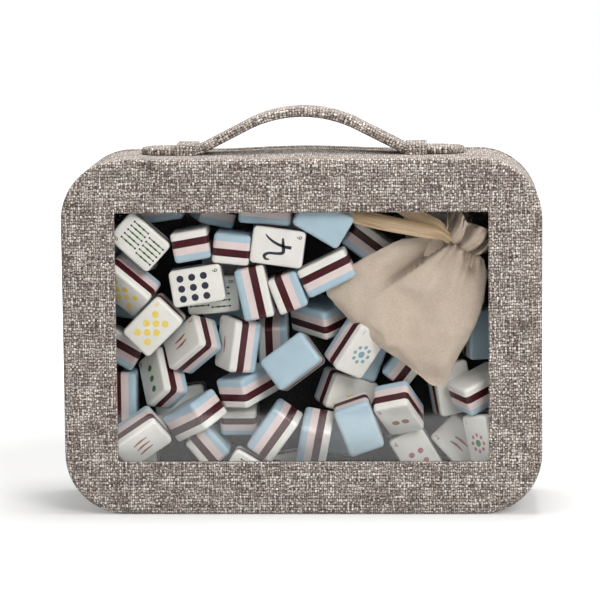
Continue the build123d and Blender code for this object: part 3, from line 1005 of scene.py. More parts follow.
# ---- the case
@dataclass
class SoftCase:
    """Outer cloth of the case: front cover, gusset and the covered lid."""

    width: float = 290.0
    depth: float = 80.0
    height: float = 217.0
    corner: float = 37.0
    edge_round: float = 2.5
    cloth: float = 1.0
    hem_round: float = 0.55
    lip: float = 3.5
    border: float = 32.3
    window_corner: float = 1.2
    board_back: float = -37.0
    gusset_back: float = 22.0
    floor_back: float = 36.7
    rim_front: float = 29.0
    opening_half: float = 102.0
    lid_inside: float = 37.0
    foot: float = 0.8
    inside_wall: float = 3.6
    floor_gap: float = 0.02
    panel_puff: float = 0.5
    top_swell: float = 1.7
    swell_half: float = 62.0

    def shell(self) -> RoundedFrame:
        """Outline of the case."""
        half = self.width / 2
        return RoundedFrame((-half, 0.0), (half, self.height), (self.corner,) * 4, 16, 30)

    def opening(self) -> RoundedFrame:
        """Outline of the window."""
        half = self.width / 2 - self.border
        return RoundedFrame((-half, self.border), (half, self.height - self.border), (self.window_corner,) * 4, 16, 30)

    def swell(self, x: float, depth: float, z: float) -> float:
        """How far the top stands up between the ends of the handle.

        Args:
            x: Place from left to right.
            depth: Place from front to back.
            z: Height.

        Returns:
            The rise, in millimetres.
        """
        if z < self.height - 8 or abs(x) > self.swell_half:
            return 0.0
        across = math.cos(math.pi * x / (2 * self.swell_half)) ** 2
        return self.top_swell * across * smooth_step(depth, 3 - self.depth / 2, 0)

    def edge(self, frame_of: RoundedFrame, front: float, way: float) -> tuple[list[list[Triple]], list[list[Pair]]]:
        """Rings of a rounded edge, from the flat face to the side.

        Args:
            frame_of: Outline of the panel.
            front: Depth of the flat face.
            way: 1 where the side runs to the back, -1 where it runs to the front.

        Returns:
            Rings of points and their weave coordinates.
        """
        flat = frame_of.ring(self.edge_round)
        outer = frame_of.ring()
        steps = 7
        rings, weave = [], []
        for step in range(steps + 1):
            angle = math.pi / 2 * step / steps
            reach = math.sin(angle)
            depth = front + way * self.edge_round * (1 - math.cos(angle))
            ring, cloth = [], []
            for near, far in zip(flat, outer):
                out = (far[0] - near[0], far[1] - near[1])
                ring.append((near[0] + out[0] * reach, depth, near[1] + out[1] * reach))
                cloth.append((near[0] + out[0] * angle, near[1] + out[1] * angle))
            rings.append(ring)
            weave.append(cloth + cloth[:1])
        return rings, weave

    def front_cover(self) -> Piece:
        """Front panel cloth, folded in round the window and back round the edge."""
        front = -self.depth / 2
        window, outline = self.opening(), self.shell()
        rings: list[list[Triple]] = []
        weave: list[list[Pair]] = []

        def add(ring: list[Pair], depth: float, cloth: list[Pair] | None = None) -> None:
            """Add one ring at a depth."""
            rings.append([(x, depth, z) for x, z in ring])
            cloth = cloth or ring
            weave.append([*cloth, cloth[0]])

        hem = window.ring()
        add(hem, self.board_back, window.ring(self.depth * 0.04))
        add(hem, front + self.hem_round)
        for angle in around(0.35, math.pi / 2, 3):
            inset = -self.hem_round * (1 - math.cos(angle))
            add(window.ring(inset), front + self.hem_round * (1 - math.sin(angle)))
        start = window.ring(-0.9)
        end = outline.ring(self.edge_round)
        for share in (0.0, 0.12, 0.3, 0.5, 0.7, 0.88):
            add([between_points(one, two, share) for one, two in zip(start, end)], front)
        edge_rings, edge_weave = self.edge(outline, front, 1.0)
        rings.extend(edge_rings)
        weave.extend(edge_weave)
        outside = edge_weave[-1][:-1]
        beyond = [(x + (x - near[0]) * 0.9, z + (z - near[1]) * 0.9) for (x, z), near in zip(outside, end)]
        add(outline.ring(), front + self.lip, beyond)
        add(outline.ring(self.cloth), front + self.lip, beyond)
        add(outline.ring(self.cloth + 0.3), front + self.cloth, beyond)
        add(window.ring(-self.cloth), front + self.cloth)
        add(window.ring(-self.cloth), self.board_back)
        rings.append(rings[0])
        weave.append(weave[0])
        draft = Draft()
        draft.loft(rings, weave)
        return draft.make("front_cover", [TWEED], 50)

    def gusset(self) -> Piece:
        """Cloth of the walls, with the floor's tongue that runs back to the lid."""
        draft = Draft()
        outline = self.shell()
        start, stop = -self.depth / 2 + self.lip, self.gusset_back
        walked = outline.travel()
        rings, weave = [], []
        for depth in around(start, stop, 12):
            rings.append([(x, depth, z + self.swell(x, depth, z)) for x, z in outline.ring()])
            weave.append([(length, depth) for length in walked])
        for depth in (stop, start):
            rings.append([(x, depth, z + self.swell(x, depth, z)) for x, z in outline.ring(self.cloth)])
            weave.append([(length, stop + self.cloth) for length in walked])
        rings.append(rings[0])
        weave.append(weave[0])
        draft.loft(rings, weave)
        back, low = self.floor_back, self.floor_gap
        section = ((stop, low), (back, low), (back, self.cloth), (stop, self.cloth))
        lengths = (stop, back, back + 1, back + 15, stop)
        across = around(-self.opening_half, self.opening_half, 8)
        tongue = [[(x, depth, z) for depth, z in section] for x in across]
        draft.close(draft.loft(tongue, [[(x, length) for length in lengths] for x in across]))
        return draft.make("gusset_cover", [TWEED], 60)

    def lid(self) -> Piece:
        """Cloth of the lid: its back panel and its rim, left out along the floor."""
        back = self.depth / 2
        outline = self.shell()
        edge_rings, edge_weave = self.edge(outline, back, -1.0)
        walked = outline.travel()
        rings: list[list[Triple]] = []
        weave: list[list[Pair]] = []
        flat = outline.ring(self.edge_round)
        middle = self.height / 2

        def panel(share: float, depth: float) -> None:
            """Add a ring of the flat panel, drawn in towards its middle."""
            cloth = [(x * share, middle + (z - middle) * share) for x, z in flat]
            rings.append([(x, depth, z) for x, z in cloth])
            weave.append(cloth + cloth[:1])

        for share in (0.06, 0.25, 0.5, 0.72, 0.88, 0.96):
            panel(share, back + self.panel_puff * (1 - share**4))
        rings.extend(edge_rings)
        weave.extend(edge_weave)
        for depth in around(back - self.edge_round, self.rim_front, 4)[1:]:
            rings.append([(x, depth, z) for x, z in outline.ring()])
            weave.append([(length, depth) for length in walked])
        rings = [[(x, y, z + self.swell(x, 0.0, z)) for x, y, z in ring] for ring in rings]
        turned_in = ((0.0, self.rim_front), (0.0, self.lid_inside), (0.5, back - self.cloth))
        for inset, depth in turned_in:
            rings.append([(x, depth, z) for x, z in outline.ring(self.cloth + inset)])
            weave.append([(length, depth + 3) for length in walked])
        for share in (0.9, 0.5, 0.06):
            panel(share, back - self.cloth)

        def kept(point: Vector) -> bool:
            """Whether this part of the lid is cloth, and not the open foot."""
            inside = abs(point.x) < self.opening_half + 0.3
            under_rim = point.z < self.inside_wall and point.y < self.lid_inside
            return not (inside and (under_rim or point.z < self.foot))

        draft = Draft()
        draft.close(draft.loft(rings, weave, keep=kept), weave)
        return draft.make("lid_cover", [TWEED], 50)

    def build(self) -> list[Piece]:
        """Make the covers and set them on their bodies."""
        front = self.front_cover()
        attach(front, "case")
        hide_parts("front_fabric")
        gusset = self.gusset()
        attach(gusset, "case")
        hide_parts("gusset_fabric")
        lid = self.lid()
        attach(lid, "back_lid")
        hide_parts("back_fabric")
        return [front, gusset, lid]


# ---- the handle
@dataclass
class Handle:
    """Strap in an arch, its two tongues and the two keepers that hold it."""

    top: float = 217.0
    low: float = 217.1
    thickness: float = 4.4
    width: float = 28.0
    padding: float = 1.5
    round_edge: float = 1.9
    end: float = 69.9
    flank_foot: float = 62.6
    flank_angle: float = 27.0
    flank_bend: float = 6.0
    crest_radius: float = 74.0
    tongue_start: float = 70.1
    tongue_end: float = 99.0
    keeper_inner: float = 63.5
    keeper_outer: float = 76.5
    keeper_shift: float = 0.8
    keeper_half: float = 16.0
    keeper_wall: float = 1.7
    keeper_top: float = 223.6
    keeper_roof: float = 221.8
    keeper_foot: float = 214.0
    keeper_round: float = 2.0
    press: float = 20.0

    def arch(self) -> list[tuple[Pair, Pair]]:
        """Middle line of the strap with its direction, from left to right.

        Returns:
            A point and a unit direction for each step.
        """
        middle = self.low + self.thickness / 2
        peak = middle + self.flank_foot * math.tan(math.radians(self.flank_angle))
        right = [(self.flank_foot, middle), (self.end, middle)]
        knots = [(-x, z) for x, z in reversed(right)] + [(0.0, peak)] + right
        radii = [self.flank_bend, self.crest_radius, self.flank_bend]
        line: list[tuple[Pair, Pair]] = []
        previous = Vector(knots[0])
        for index, radius in enumerate(radii, start=1):
            before, at, after = (Vector(knots[index + shift]) for shift in (-1, 0, 1))
            come, go = (at - before).normalized(), (after - at).normalized()
            turn = math.atan2(come.x * go.y - come.y * go.x, come.dot(go))
            reach = radius * math.tan(abs(turn) / 2)
            start = at - come * reach
            for share in around(0, 1, 8)[:-1]:
                point = previous.lerp(start, share)
                line.append(((point.x, point.y), (come.x, come.y)))
            side = math.copysign(1, turn)
            centre = start + Vector((-come.y, come.x)) * radius * side
            steps = max(8, int(abs(math.degrees(turn)) / 1.6))
            for share in around(0, 1, steps)[:-1]:
                angle = turn * share
                cosine, sine = math.cos(angle), math.sin(angle)
                way = Vector((come.x * cosine - come.y * sine, come.x * sine + come.y * cosine))
                point = centre - Vector((-way.y, way.x)) * radius * side
                line.append(((point.x, point.y), (way.x, way.y)))
            previous = at + go * reach
        last = Vector(knots[-1])
        for share in around(0, 1, 6):
            point = previous.lerp(last, share)
            line.append(((point.x, point.y), (1.0, 0.0)))
        return line

    def strap(self) -> Piece:
        """Padded strap, swept along the arch."""
        half = self.width / 2
        section = RoundedFrame((-half, -self.thickness / 2), (half, self.thickness / 2), (self.round_edge,) * 4, 6, 8)
        profile = section.ring()
        around_it = section.travel()
        rings, weave = [], []
        walked = 0.0
        line = self.arch()
        for index, ((x, z), (way_x, way_z)) in enumerate(line):
            if index:
                walked += math.dist((x, z), line[index - 1][0])
            ring = []
            for across, up in profile:
                towards_top = 0.5 + 0.5 * up / (self.thickness / 2)
                towards_middle = 0.7 + 0.3 * math.cos(math.pi * across / self.width)
                lift = up + self.padding * towards_top * towards_middle
                ring.append((x - way_z * lift, across, z + way_x * lift))
            rings.append(ring)
            weave.append([(length, walked) for length in around_it])
        draft = Draft()
        draft.close(draft.loft(rings, weave))
        return draft.make("handle_strap", [TWEED], 60)

    def tongue(self, name: str, side: float) -> Piece:
        """Flat sewn end of the strap, with a round tip.

        Args:
            name: The piece's name.
            side: -1 for the left end, 1 for the right.

        Returns:
            The piece.
        """
        half = self.width / 2
        plan = RoundedFrame((self.tongue_start, -half), (self.tongue_end, half), (half, half, 0.4, 0.4), 14, 8)
        rings, weave = [], []
        high = self.low + self.thickness
        edge = quarter(self.round_edge, 6)
        profile = [(inset, self.low + rise) for inset, rise in edge] + [(rise, high - inset) for inset, rise in edge]
        for inset, height in profile:
            rings.append([(x * side, y, height) for x, y in plan.ring(inset)])
            spread = 1 + (height - self.low) * 0.01
            cloth = [(y * spread, x * side) for x, y in plan.ring(inset - (high - height) * 0.6)]
            weave.append(cloth + cloth[:1])
        draft = Draft()
        draft.close(draft.loft(rings, weave), weave)
        return draft.make(name, [TWEED], 60)

    def keeper(self, name: str, side: float) -> Piece:
        """Sleeve of cloth over the strap, with its two legs sewn into the top.

        Args:
            name: The piece's name.
            side: -1 for the left sleeve, 1 for the right.

        Returns:
            The piece.
        """
        inner = self.keeper_half - self.keeper_wall

        def section(inset: float) -> list[Pair]:
            """Arch section with its outside moved in."""
            half, top = self.keeper_half - inset, self.keeper_top - inset
            radius, foot, roof = self.keeper_round, self.keeper_foot, self.keeper_roof
            points = [(-half, z) for z in around(foot, top - radius, 5)]
            for angle in around(math.pi, math.pi / 2, 6)[1:]:
                points.append((-half + radius + radius * math.cos(angle), top - radius + radius * math.sin(angle)))
            points += [(y, top) for y in around(-half + radius, half - radius, 10)[1:]]
            for angle in around(math.pi / 2, 0, 6)[1:]:
                points.append((half - radius + radius * math.cos(angle), top - radius + radius * math.sin(angle)))
            points += [(half, z) for z in around(top - radius, foot, 5)[1:]]
            return points + [(inner, foot), (inner, roof), (-inner, roof), (-inner, foot)]

        length = self.keeper_outer - self.keeper_inner
        soft = 0.8
        places = [(0.0, soft * 0.75), (soft * 0.25, soft * 0.25), (soft, 0.0)]
        places += [(length * share, 0.0) for share in (0.3, 0.5, 0.7)]
        places += [(length - soft, 0.0), (length - soft * 0.25, soft * 0.25), (length, soft * 0.75)]
        rings, weave = [], []
        for along, inset in places:
            points = section(inset)
            x = (self.keeper_inner + along) * side - self.keeper_shift
            rings.append([(x, y, z) for y, z in points])
            weave.append([(step, along) for step in walk(points)])
        draft = Draft()
        draft.close(draft.loft(rings, weave), weave, flat=True)
        return draft.make(name, [TWEED], 55)

    def build(self) -> list[Piece]:
        """Make the handle's pieces and set them on their bodies."""
        strap = self.strap()
        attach(strap, "handle_grip")
        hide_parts("handle_cover", "handle_core")
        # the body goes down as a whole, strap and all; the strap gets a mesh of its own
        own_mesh(strap)
        made = [strap]
        for word, side in (("left", -1.0), ("right", 1.0)):
            tongue = self.tongue(f"handle_tongue_{word}", side)
            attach(tongue, f"handle_{word}_end")
            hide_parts(f"handle_end_{word}")
            keeper = self.keeper(f"strap_keeper_{word}", side)
            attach(keeper, "case")
            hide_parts(f"keeper_{word}")
            made += [tongue, keeper]
        return made


# ---- tiles
@dataclass(frozen=True)
class TilePlace:
    """Where one tile lies: its middle and its unit directions, in millimetres."""

    centre: Vector
    facing: Vector
    upward: Vector

    @property
    def rightward(self) -> Vector:
        """Direction to the right on the white face."""
        return self.upward.cross(self.facing)

    def point(self, right: float, up: float, out: float) -> Triple:
        """Point given along the tile's own directions."""
        return tuple(self.centre + self.rightward * right + self.upward * up + self.facing * out)


def read_tiles(mesh: bpy.types.Mesh) -> list[TilePlace]:
    """Find each tile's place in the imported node.

    Args:
        mesh: Mesh that holds every tile.

    Returns:
        One place for each tile.
    """
    spots = np.empty(len(mesh.vertices) * 3)
    mesh.vertices.foreach_get("co", spots)
    spots = spots.reshape(-1, 3) / MM
    mesh.calc_loop_triangles()
    corners = np.empty(len(mesh.loop_triangles) * 3, dtype=np.int32)
    mesh.loop_triangles.foreach_get("vertices", corners)
    welded, number = np.unique(np.round(spots, 3), axis=0, return_inverse=True)
    corners = number.reshape(-1)[corners.reshape(-1, 3)]
    group = np.arange(len(welded))
    while True:
        lowest = group[corners].min(axis=1)
        merged = group.copy()
        for side in range(3):
            np.minimum.at(merged, corners[:, side], lowest)
        merged = merged[merged]
        if (merged == group).all():
            break
        group = merged
    cross = np.cross(welded[corners[:, 1]] - welded[corners[:, 0]], welded[corners[:, 2]] - welded[corners[:, 0]])
    area = np.linalg.norm(cross, axis=1)
    normal = cross / np.maximum(area, 1e-9)[:, None]
    owner = group[corners[:, 0]]
    places = []
    for tile in np.unique(owner):
        mine = np.nonzero(owner == tile)[0]
        left = mine[np.argsort(-area[mine])]
        flats = []
        while len(left) and len(flats) < 6:
            level = normal[left] @ normal[left[0]] > 0.9999
            flats.append((area[left[level]].sum(), normal[left[0]]))
            left = left[~level]
        flats.sort(key=lambda flat: -flat[0])
        facing = flats[0][1]
        upward = max((flats[4][1], flats[5][1]), key=lambda way: way[2])
        sideways = np.cross(upward, facing)
        points = welded[group == tile]
        centre = np.zeros(3)
        for way in (facing, upward, sideways):
            along = points @ way
            centre += way * (along.max() + along.min()) / 2
        places.append(TilePlace(Vector(centre), Vector(facing), Vector(upward)))
    return places


@dataclass(frozen=True)
class Dot:
    """Round mark at a place on the white face."""

    right: float
    up: float
    radius: float
    ink: InkTone
    lift: float = 0.0


@dataclass(frozen=True)
class Bar:
    """Upright straight mark."""

    right: float
    up: float
    length: float
    width: float
    ink: InkTone


@dataclass(frozen=True)
class Stroke:
    """Brush stroke through points that give right, up and width."""

    path: tuple[Triple, ...]
    ink: InkTone


@dataclass(frozen=True)
class Numeral:
    """Small figure in a corner of the face."""

    text: str
    ink: InkTone
    right: float = -7.6
    up: float = 12.0
    size: float = 4.6


Mark = Dot | Bar | Stroke | Numeral


def bamboo(sticks: int, ink: InkTone, figure: str) -> list[Mark]:
    """Two rows of knotted bamboo sticks with a figure.

    Args:
        sticks: How many in a row.
        ink: Colour of the sticks.
        figure: The figure in the corner.

    Returns:
        The marks.
    """
    marks: list[Mark] = []
    for row in range(2):
        for column in range(sticks):
            right = (column - (sticks - 1) / 2) * (15.2 / sticks) + 0.8
            up = -1.9 + (row - 0.5) * 13.2
            stagger = right + (row - 0.5) * 1.5
            marks.append(Bar(stagger, up, 11.2, 0.95, ink))
            for knot in (-5.4, -1.8, 1.8, 5.4):
                marks.append(Dot(stagger, up + knot, 0.62, InkTone.NAVY, 0.03))
    marks.append(Numeral(figure, ink))
    return marks


def grid_of_dots(columns: int, rows: int, radius: float, ink: InkTone, figure: str) -> list[Mark]:
    """Round marks in a square pattern with a figure.

    Args:
        columns, rows: How many marks.
        radius: Size of a mark.
        ink: Their colour.
        figure: The figure in the corner.

    Returns:
        The marks.
    """
    marks: list[Mark] = []
    for column in range(columns):
        for row in range(rows):
            right = (column - (columns - 1) / 2) * 6.2 + 0.4
            up = (row - (rows - 1) / 2) * 7.2 - 2.2
            marks.append(Dot(right, up, radius, ink))
    marks.append(Numeral(figure, ink, -7.8))
    return marks


def alternating_dots(radius: float, ink: InkTone, figure: str) -> list[Mark]:
    """Eight round marks in rows of two and one, with a figure.

    Args:
        radius: Size of a mark.
        ink: Their colour.
        figure: The figure in the corner.

    Returns:
        The marks.
    """
    spots = [(-4.2, 7.2), (4.2, 7.2), (0.0, 3.4), (-4.2, -0.6), (4.2, -0.6), (0.0, -4.4), (-4.2, -8.6), (4.2, -8.6)]
    marks: list[Mark] = [Dot(right, up, radius, ink) for right, up in spots]
    marks.append(Numeral(figure, ink, up=12.2))
    return marks


def brushed_nine() -> list[Mark]:
    """The figure nine as two brush strokes."""
    start = ((-6.0, 2.6, 1.1), (-2.0, 3.2, 1.9), (2.4, 3.8, 2.1), (3.6, 1.0, 1.7))
    hook = ((4.0, -4.6, 1.5), (5.6, -7.2, 2.0), (7.6, -6.4, 1.5), (7.8, -4.0, 0.7))
    down = ((-0.8, 8.4, 2.0), (-1.0, 4.0, 1.8), (-2.6, -1.6, 1.6), (-5.2, -6.0, 1.2), (-7.2, -8.0, 0.6))
    ink = InkTone.NAVY
    return [Stroke(start + hook, ink), Stroke(down, ink), Numeral("9", ink, up=12.2)]


def ring_mark(ink: InkTone, inner: InkTone, figure: str) -> list[Mark]:
    """One large round mark of dots about a middle dot.

    Args:
        ink: Colour of the outer dots.
        inner: Colour of the middle dot.
        figure: The figure in the corner.

    Returns:
        The marks.
    """
    up, reach, count = -1.0, 5.2, 8
    marks: list[Mark] = [Dot(0.0, up, 2.2, inner)]
    for step in range(count):
        angle = 2 * math.pi * step / count
        marks.append(Dot(reach * math.cos(angle), up + reach * math.sin(angle), 1.25, ink))
    marks.append(Numeral(figure, ink))
    return marks


def short_strokes(count: int, ink: InkTone, figure: str) -> list[Mark]:
    """Short leaning strokes side by side, with a figure.

    Args:
        count: How many strokes.
        ink: Their colour.
        figure: The figure in the corner.

    Returns:
        The marks.
    """
    marks: list[Mark] = []
    for index in range(count):
        right = (index - (count - 1) / 2) * 4.0
        marks.append(Stroke(((right - 1.0, 4.6, 0.7), (right, 0.0, 1.5), (right + 0.4, -5.4, 0.6)), ink))
    marks.append(Numeral(figure, ink))
    return marks


@dataclass(frozen=True)
class MarkedTile:
    """Which tile a motif goes on, by the tile's place seen from the front."""

    x: float
    z: float
    marks: Sequence[Mark]
    turned: bool = False


@dataclass
class TileSet:
    """All the tiles: four layers of resin, and painted marks on the faces in view."""

    width: float = 22.5
    length: float = 32.0
    thickness: float = 18.4
    corner: float = 2.7
    face_round: float = 1.7
    back_round: float = 2.4
    mark_depth: float = 0.10
    sink: float = 0.04
    seen_facing: float = -0.25
    farthest: float = 12.0

    def profile(self) -> list[tuple[float, float, int]]:
        """Inset, height and layer from the blue back up to the white face."""
        half = self.thickness / 2
        rows = [(inset, rise - half, 3) for inset, rise in quarter(self.back_round, 5)]
        rows += [(0.0, -half + self.thickness * share, layer) for share, layer in ((0.25, 2), (0.5, 1), (0.75, 0))]
        return rows + [(rise, half - inset, 0) for inset, rise in quarter(self.face_round, 5)]

    def bodies(self, places: Sequence[TilePlace]) -> Piece:
        """Every tile, in one piece of four finishes.

        Args:
            places: Where each tile lies.

        Returns:
            The piece.
        """
        half, end = self.width / 2, self.length / 2
        plan = RoundedFrame((-half, -end), (half, end), (self.corner,) * 4, 5, 2)
        rows = self.profile()
        slots = [layer for _, _, layer in rows]
        draft = Draft()
        for place in places:
            rings = [[place.point(right, up, height) for right, up in plan.ring(inset)] for inset, height, _ in rows]
            numbers = draft.loft(rings, slots=slots)
            draft.cap(numbers[0], slot=3)
            draft.cap(numbers[-1], slot=0)
        return draft.make("tile_bodies", [TILE_WHITE, TILE_RED, TILE_PINK, TILE_BLUE], 50)

    def chosen(self) -> list[MarkedTile]:
        """The motif of each tile whose face is in view."""
        navy, green, yellow = InkTone.NAVY, InkTone.GREEN, InkTone.YELLOW
        brown, teal, rose = InkTone.BROWN, InkTone.TEAL, InkTone.ROSE
        return [
            MarkedTile(-98, 167, bamboo(5, green, "8")),
            MarkedTile(-63, 140, grid_of_dots(3, 3, 2.15, navy, "9")),
            MarkedTile(-54, 127, bamboo(4, green, "8")),
            MarkedTile(-107, 139, alternating_dots(1.9, yellow, "8")),
            MarkedTile(-90, 115, alternating_dots(2.15, yellow, "8")),
            MarkedTile(-68, 101, short_strokes(2, brown, "2")),
            MarkedTile(-87, 79, grid_of_dots(1, 3, 2.0, green, "3")),
            MarkedTile(-102, 45, short_strokes(3, brown, "3"), True),
            MarkedTile(-33, 21, bamboo(4, green, "6")),
            MarkedTile(-14, 163, brushed_nine(), True),
            MarkedTile(-40, 102, short_strokes(1, brown, "1")),
            MarkedTile(25, 69, short_strokes(1, yellow, "1")),
            MarkedTile(32, 100, ring_mark(teal, teal, "1")),
            MarkedTile(58, 61, grid_of_dots(2, 1, 2.3, brown, "2")),
            MarkedTile(89, 72, grid_of_dots(1, 2, 1.9, brown, "2")),
            MarkedTile(97, 35, short_strokes(2, brown, "2")),
            MarkedTile(113, 44, ring_mark(rose, green, "1")),
            MarkedTile(68, 31, grid_of_dots(2, 2, 1.8, rose, "4")),
        ]

    def stamp_tree(self, name: str, ink: InkTone, is_bar: bool) -> Wiring:
        """Tree that sets a small solid on every point.

        Args:
            name: The tree's name.
            ink: Finish of the marks.
            is_bar: A straight bar, or else a round dot.

        Returns:
            The wiring of the tree, which has an input for the marks' depth.
        """
        wiring, given, result = geometry_tree(name, {"Depth": "NodeSocketFloat"})

        def attribute(word: str) -> Socket:
            """Vector that each point carries."""
            node = wiring.add("GeometryNodeInputNamedAttribute", data_type="FLOAT_VECTOR")
            node.inputs["Name"].default_value = word
            return next(socket for socket in node.outputs if socket.enabled and socket.name == "Attribute")

        solid = wiring.add("GeometryNodeMeshCylinder", fill_type="NGON")
        wiring.wire(solid, {"Vertices": 12 if is_bar else 28, "Radius": 1.0, "Depth": 1.0})
        facing = wiring.add("FunctionNodeAlignRotationToVector", axis="Z")
        wiring.wire(facing, {"Vector": attribute("facing")})
        upright = wiring.add("FunctionNodeAlignRotationToVector", axis="Y", pivot_axis="Z")
        wiring.wire(upright, {"Rotation": facing.outputs["Rotation"], "Vector": attribute("upward")})
        spread_x, spread_y, _ = wiring.split(attribute("spread"))
        stamp = {
            "Points": given.outputs["Geometry"],
            "Instance": solid.outputs["Mesh"],
            "Rotation": upright.outputs["Rotation"],
            "Scale": wiring.combine(spread_x, spread_y, given.outputs["Depth"]),
        }
        wiring.wire(result, {"Geometry": stamped_solids(wiring, stamp, ink.value)})
        return wiring

    def stamped(
        self, name: str, ink: InkTone, is_bar: bool, spots: list[tuple[Triple, Vector, Vector, Triple]]
    ) -> Piece:
        """Marks of one kind and colour, set by the tree and made plain.

        Args:
            name: The piece's name.
            ink: The marks' colour.
            is_bar: Straight bars, or else round dots.
            spots: Place, facing, upward direction and size of each mark.

        Returns:
            The piece.
        """
        mesh = bpy.data.meshes.new(name)
        mesh.from_pydata(in_metres([spot[0] for spot in spots]), [], [])
        for word, index in (("facing", 1), ("upward", 2), ("spread", 3)):
            layer = mesh.attributes.new(word, "FLOAT_VECTOR", "POINT")
            layer.data.foreach_set("vector", [value for spot in spots for value in spot[index]])
        points = placed(f"{name}_points", mesh)
        run_tree(points, self.stamp_tree(name, ink, is_bar), {"Depth": self.mark_depth * MM})
        return settled(name, points, ink.value)

    def stroke(self, draft: Draft, place: TilePlace, mark: Stroke, flip: float) -> None:
        """Add one brush stroke to a draft as a flat ribbon.

        Args:
            draft: Where the ribbon goes.
            place: The tile.
            mark: The stroke.
            flip: -1 on a tile that lies upside down, or else 1.
        """
        centres = smooth_line(mark.path, 8)
        out = self.thickness / 2 - self.sink
        rings = []
        for index, centre in enumerate(centres):
            ahead = centres[min(index + 1, len(centres) - 1)] - centres[max(index - 1, 0)]
            side = Vector((-ahead.y, ahead.x)).normalized() * centre.z / 2
            ring = []
            for sign, height in ((-1, 0), (1, 0), (1, self.mark_depth), (-1, self.mark_depth)):
                right, up = centre.x + side.x * sign, centre.y + side.y * sign
                ring.append(place.point(right * flip, up * flip, out + height))
            rings.append(ring)
        draft.close(draft.loft(rings), flat=True)

    def numeral(self, draft: Draft, place: TilePlace, mark: Numeral, flip: float) -> None:
        """Add a figure to a draft.

        Args:
            draft: Where the figure goes.
            place: The tile.
            mark: The figure.
            flip: -1 on a tile that lies upside down, or else 1.
        """
        curve = bpy.data.curves.new("figure", "FONT")
        curve.body = mark.text
        curve.size = mark.size
        curve.align_x = "CENTER"
        curve.align_y = "CENTER"
        curve.extrude = self.mark_depth / 2
        text = placed("figure", curve)
        graph = bpy.context.evaluated_depsgraph_get()
        mesh = bpy.data.meshes.new_from_object(text.evaluated_get(graph))
        start = len(draft.points)
        out = self.thickness / 2 - self.sink + self.mark_depth / 2
        for vertex in mesh.vertices:
            right, up = mark.right + vertex.co.x, mark.up + vertex.co.y
            draft.points.append(place.point(right * flip, up * flip, out + vertex.co.z))
        for polygon in mesh.polygons:
            draft.face([start + number for number in polygon.vertices])
        bpy.data.objects.remove(text)
        bpy.data.meshes.remove(mesh)
        bpy.data.curves.remove(curve)

    def painted(self, places: Sequence[TilePlace]) -> list[Piece]:
        """The marks on the tiles in view, one piece for each kind and colour.

        Args:
            places: Where each tile lies.

        Returns:
            The pieces.
        """
        stamps: dict[tuple[InkTone, bool], list[tuple[Triple, Vector, Vector, Triple]]] = {}
        drafts: dict[InkTone, Draft] = {}
        out = self.thickness / 2 - self.sink + self.mark_depth / 2
        seen = [place for place in places if place.facing.y < self.seen_facing]
        for tile in self.chosen():
            place = min(seen, key=lambda spot: math.dist((spot.centre.x, spot.centre.z), (tile.x, tile.z)))
            gap = math.dist((place.centre.x, place.centre.z), (tile.x, tile.z))
            if gap > self.farthest:
                log.warning("no tile near %s, %s", tile.x, tile.z)
                continue
            flip = -1.0 if tile.turned else 1.0
            for mark in tile.marks:
                if isinstance(mark, (Dot, Bar)):
                    is_bar = isinstance(mark, Bar)
                    spread = (mark.width / 2, mark.length / 2, 1.0) if is_bar else (mark.radius, mark.radius, 1.0)
                    lift = 0.0 if is_bar else mark.lift
                    spot = place.point(mark.right * flip, mark.up * flip, out + lift)
                    row = (spot, place.facing, place.upward, tuple(value * MM for value in spread))
                    stamps.setdefault((mark.ink, is_bar), []).append(row)
                elif isinstance(mark, Stroke):
                    self.stroke(drafts.setdefault(mark.ink, Draft()), place, mark, flip)
                else:
                    self.numeral(drafts.setdefault(mark.ink, Draft()), place, mark, flip)
        made = []
        for (ink, is_bar), spots in stamps.items():
            word = "bars" if is_bar else "dots"
            made.append(self.stamped(f"tile_{word}_{ink.name.lower()}", ink, is_bar, spots))
        for ink, draft in drafts.items():
            made.append(draft.make(f"tile_strokes_{ink.name.lower()}", [ink.value], 60))
        return made

    def build(self) -> list[Piece]:
        """Make the tiles and their marks, and set them in the case."""
        places = read_tiles(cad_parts["mahjong_tiles"].data)
        log.info("tiles: %d", len(places))
        tiles = self.bodies(places)
        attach(tiles, "case")
        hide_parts("mahjong_tiles")
        marks = self.painted(places)
        for mark in marks:
            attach(mark, "case")
        return [tiles, *marks]


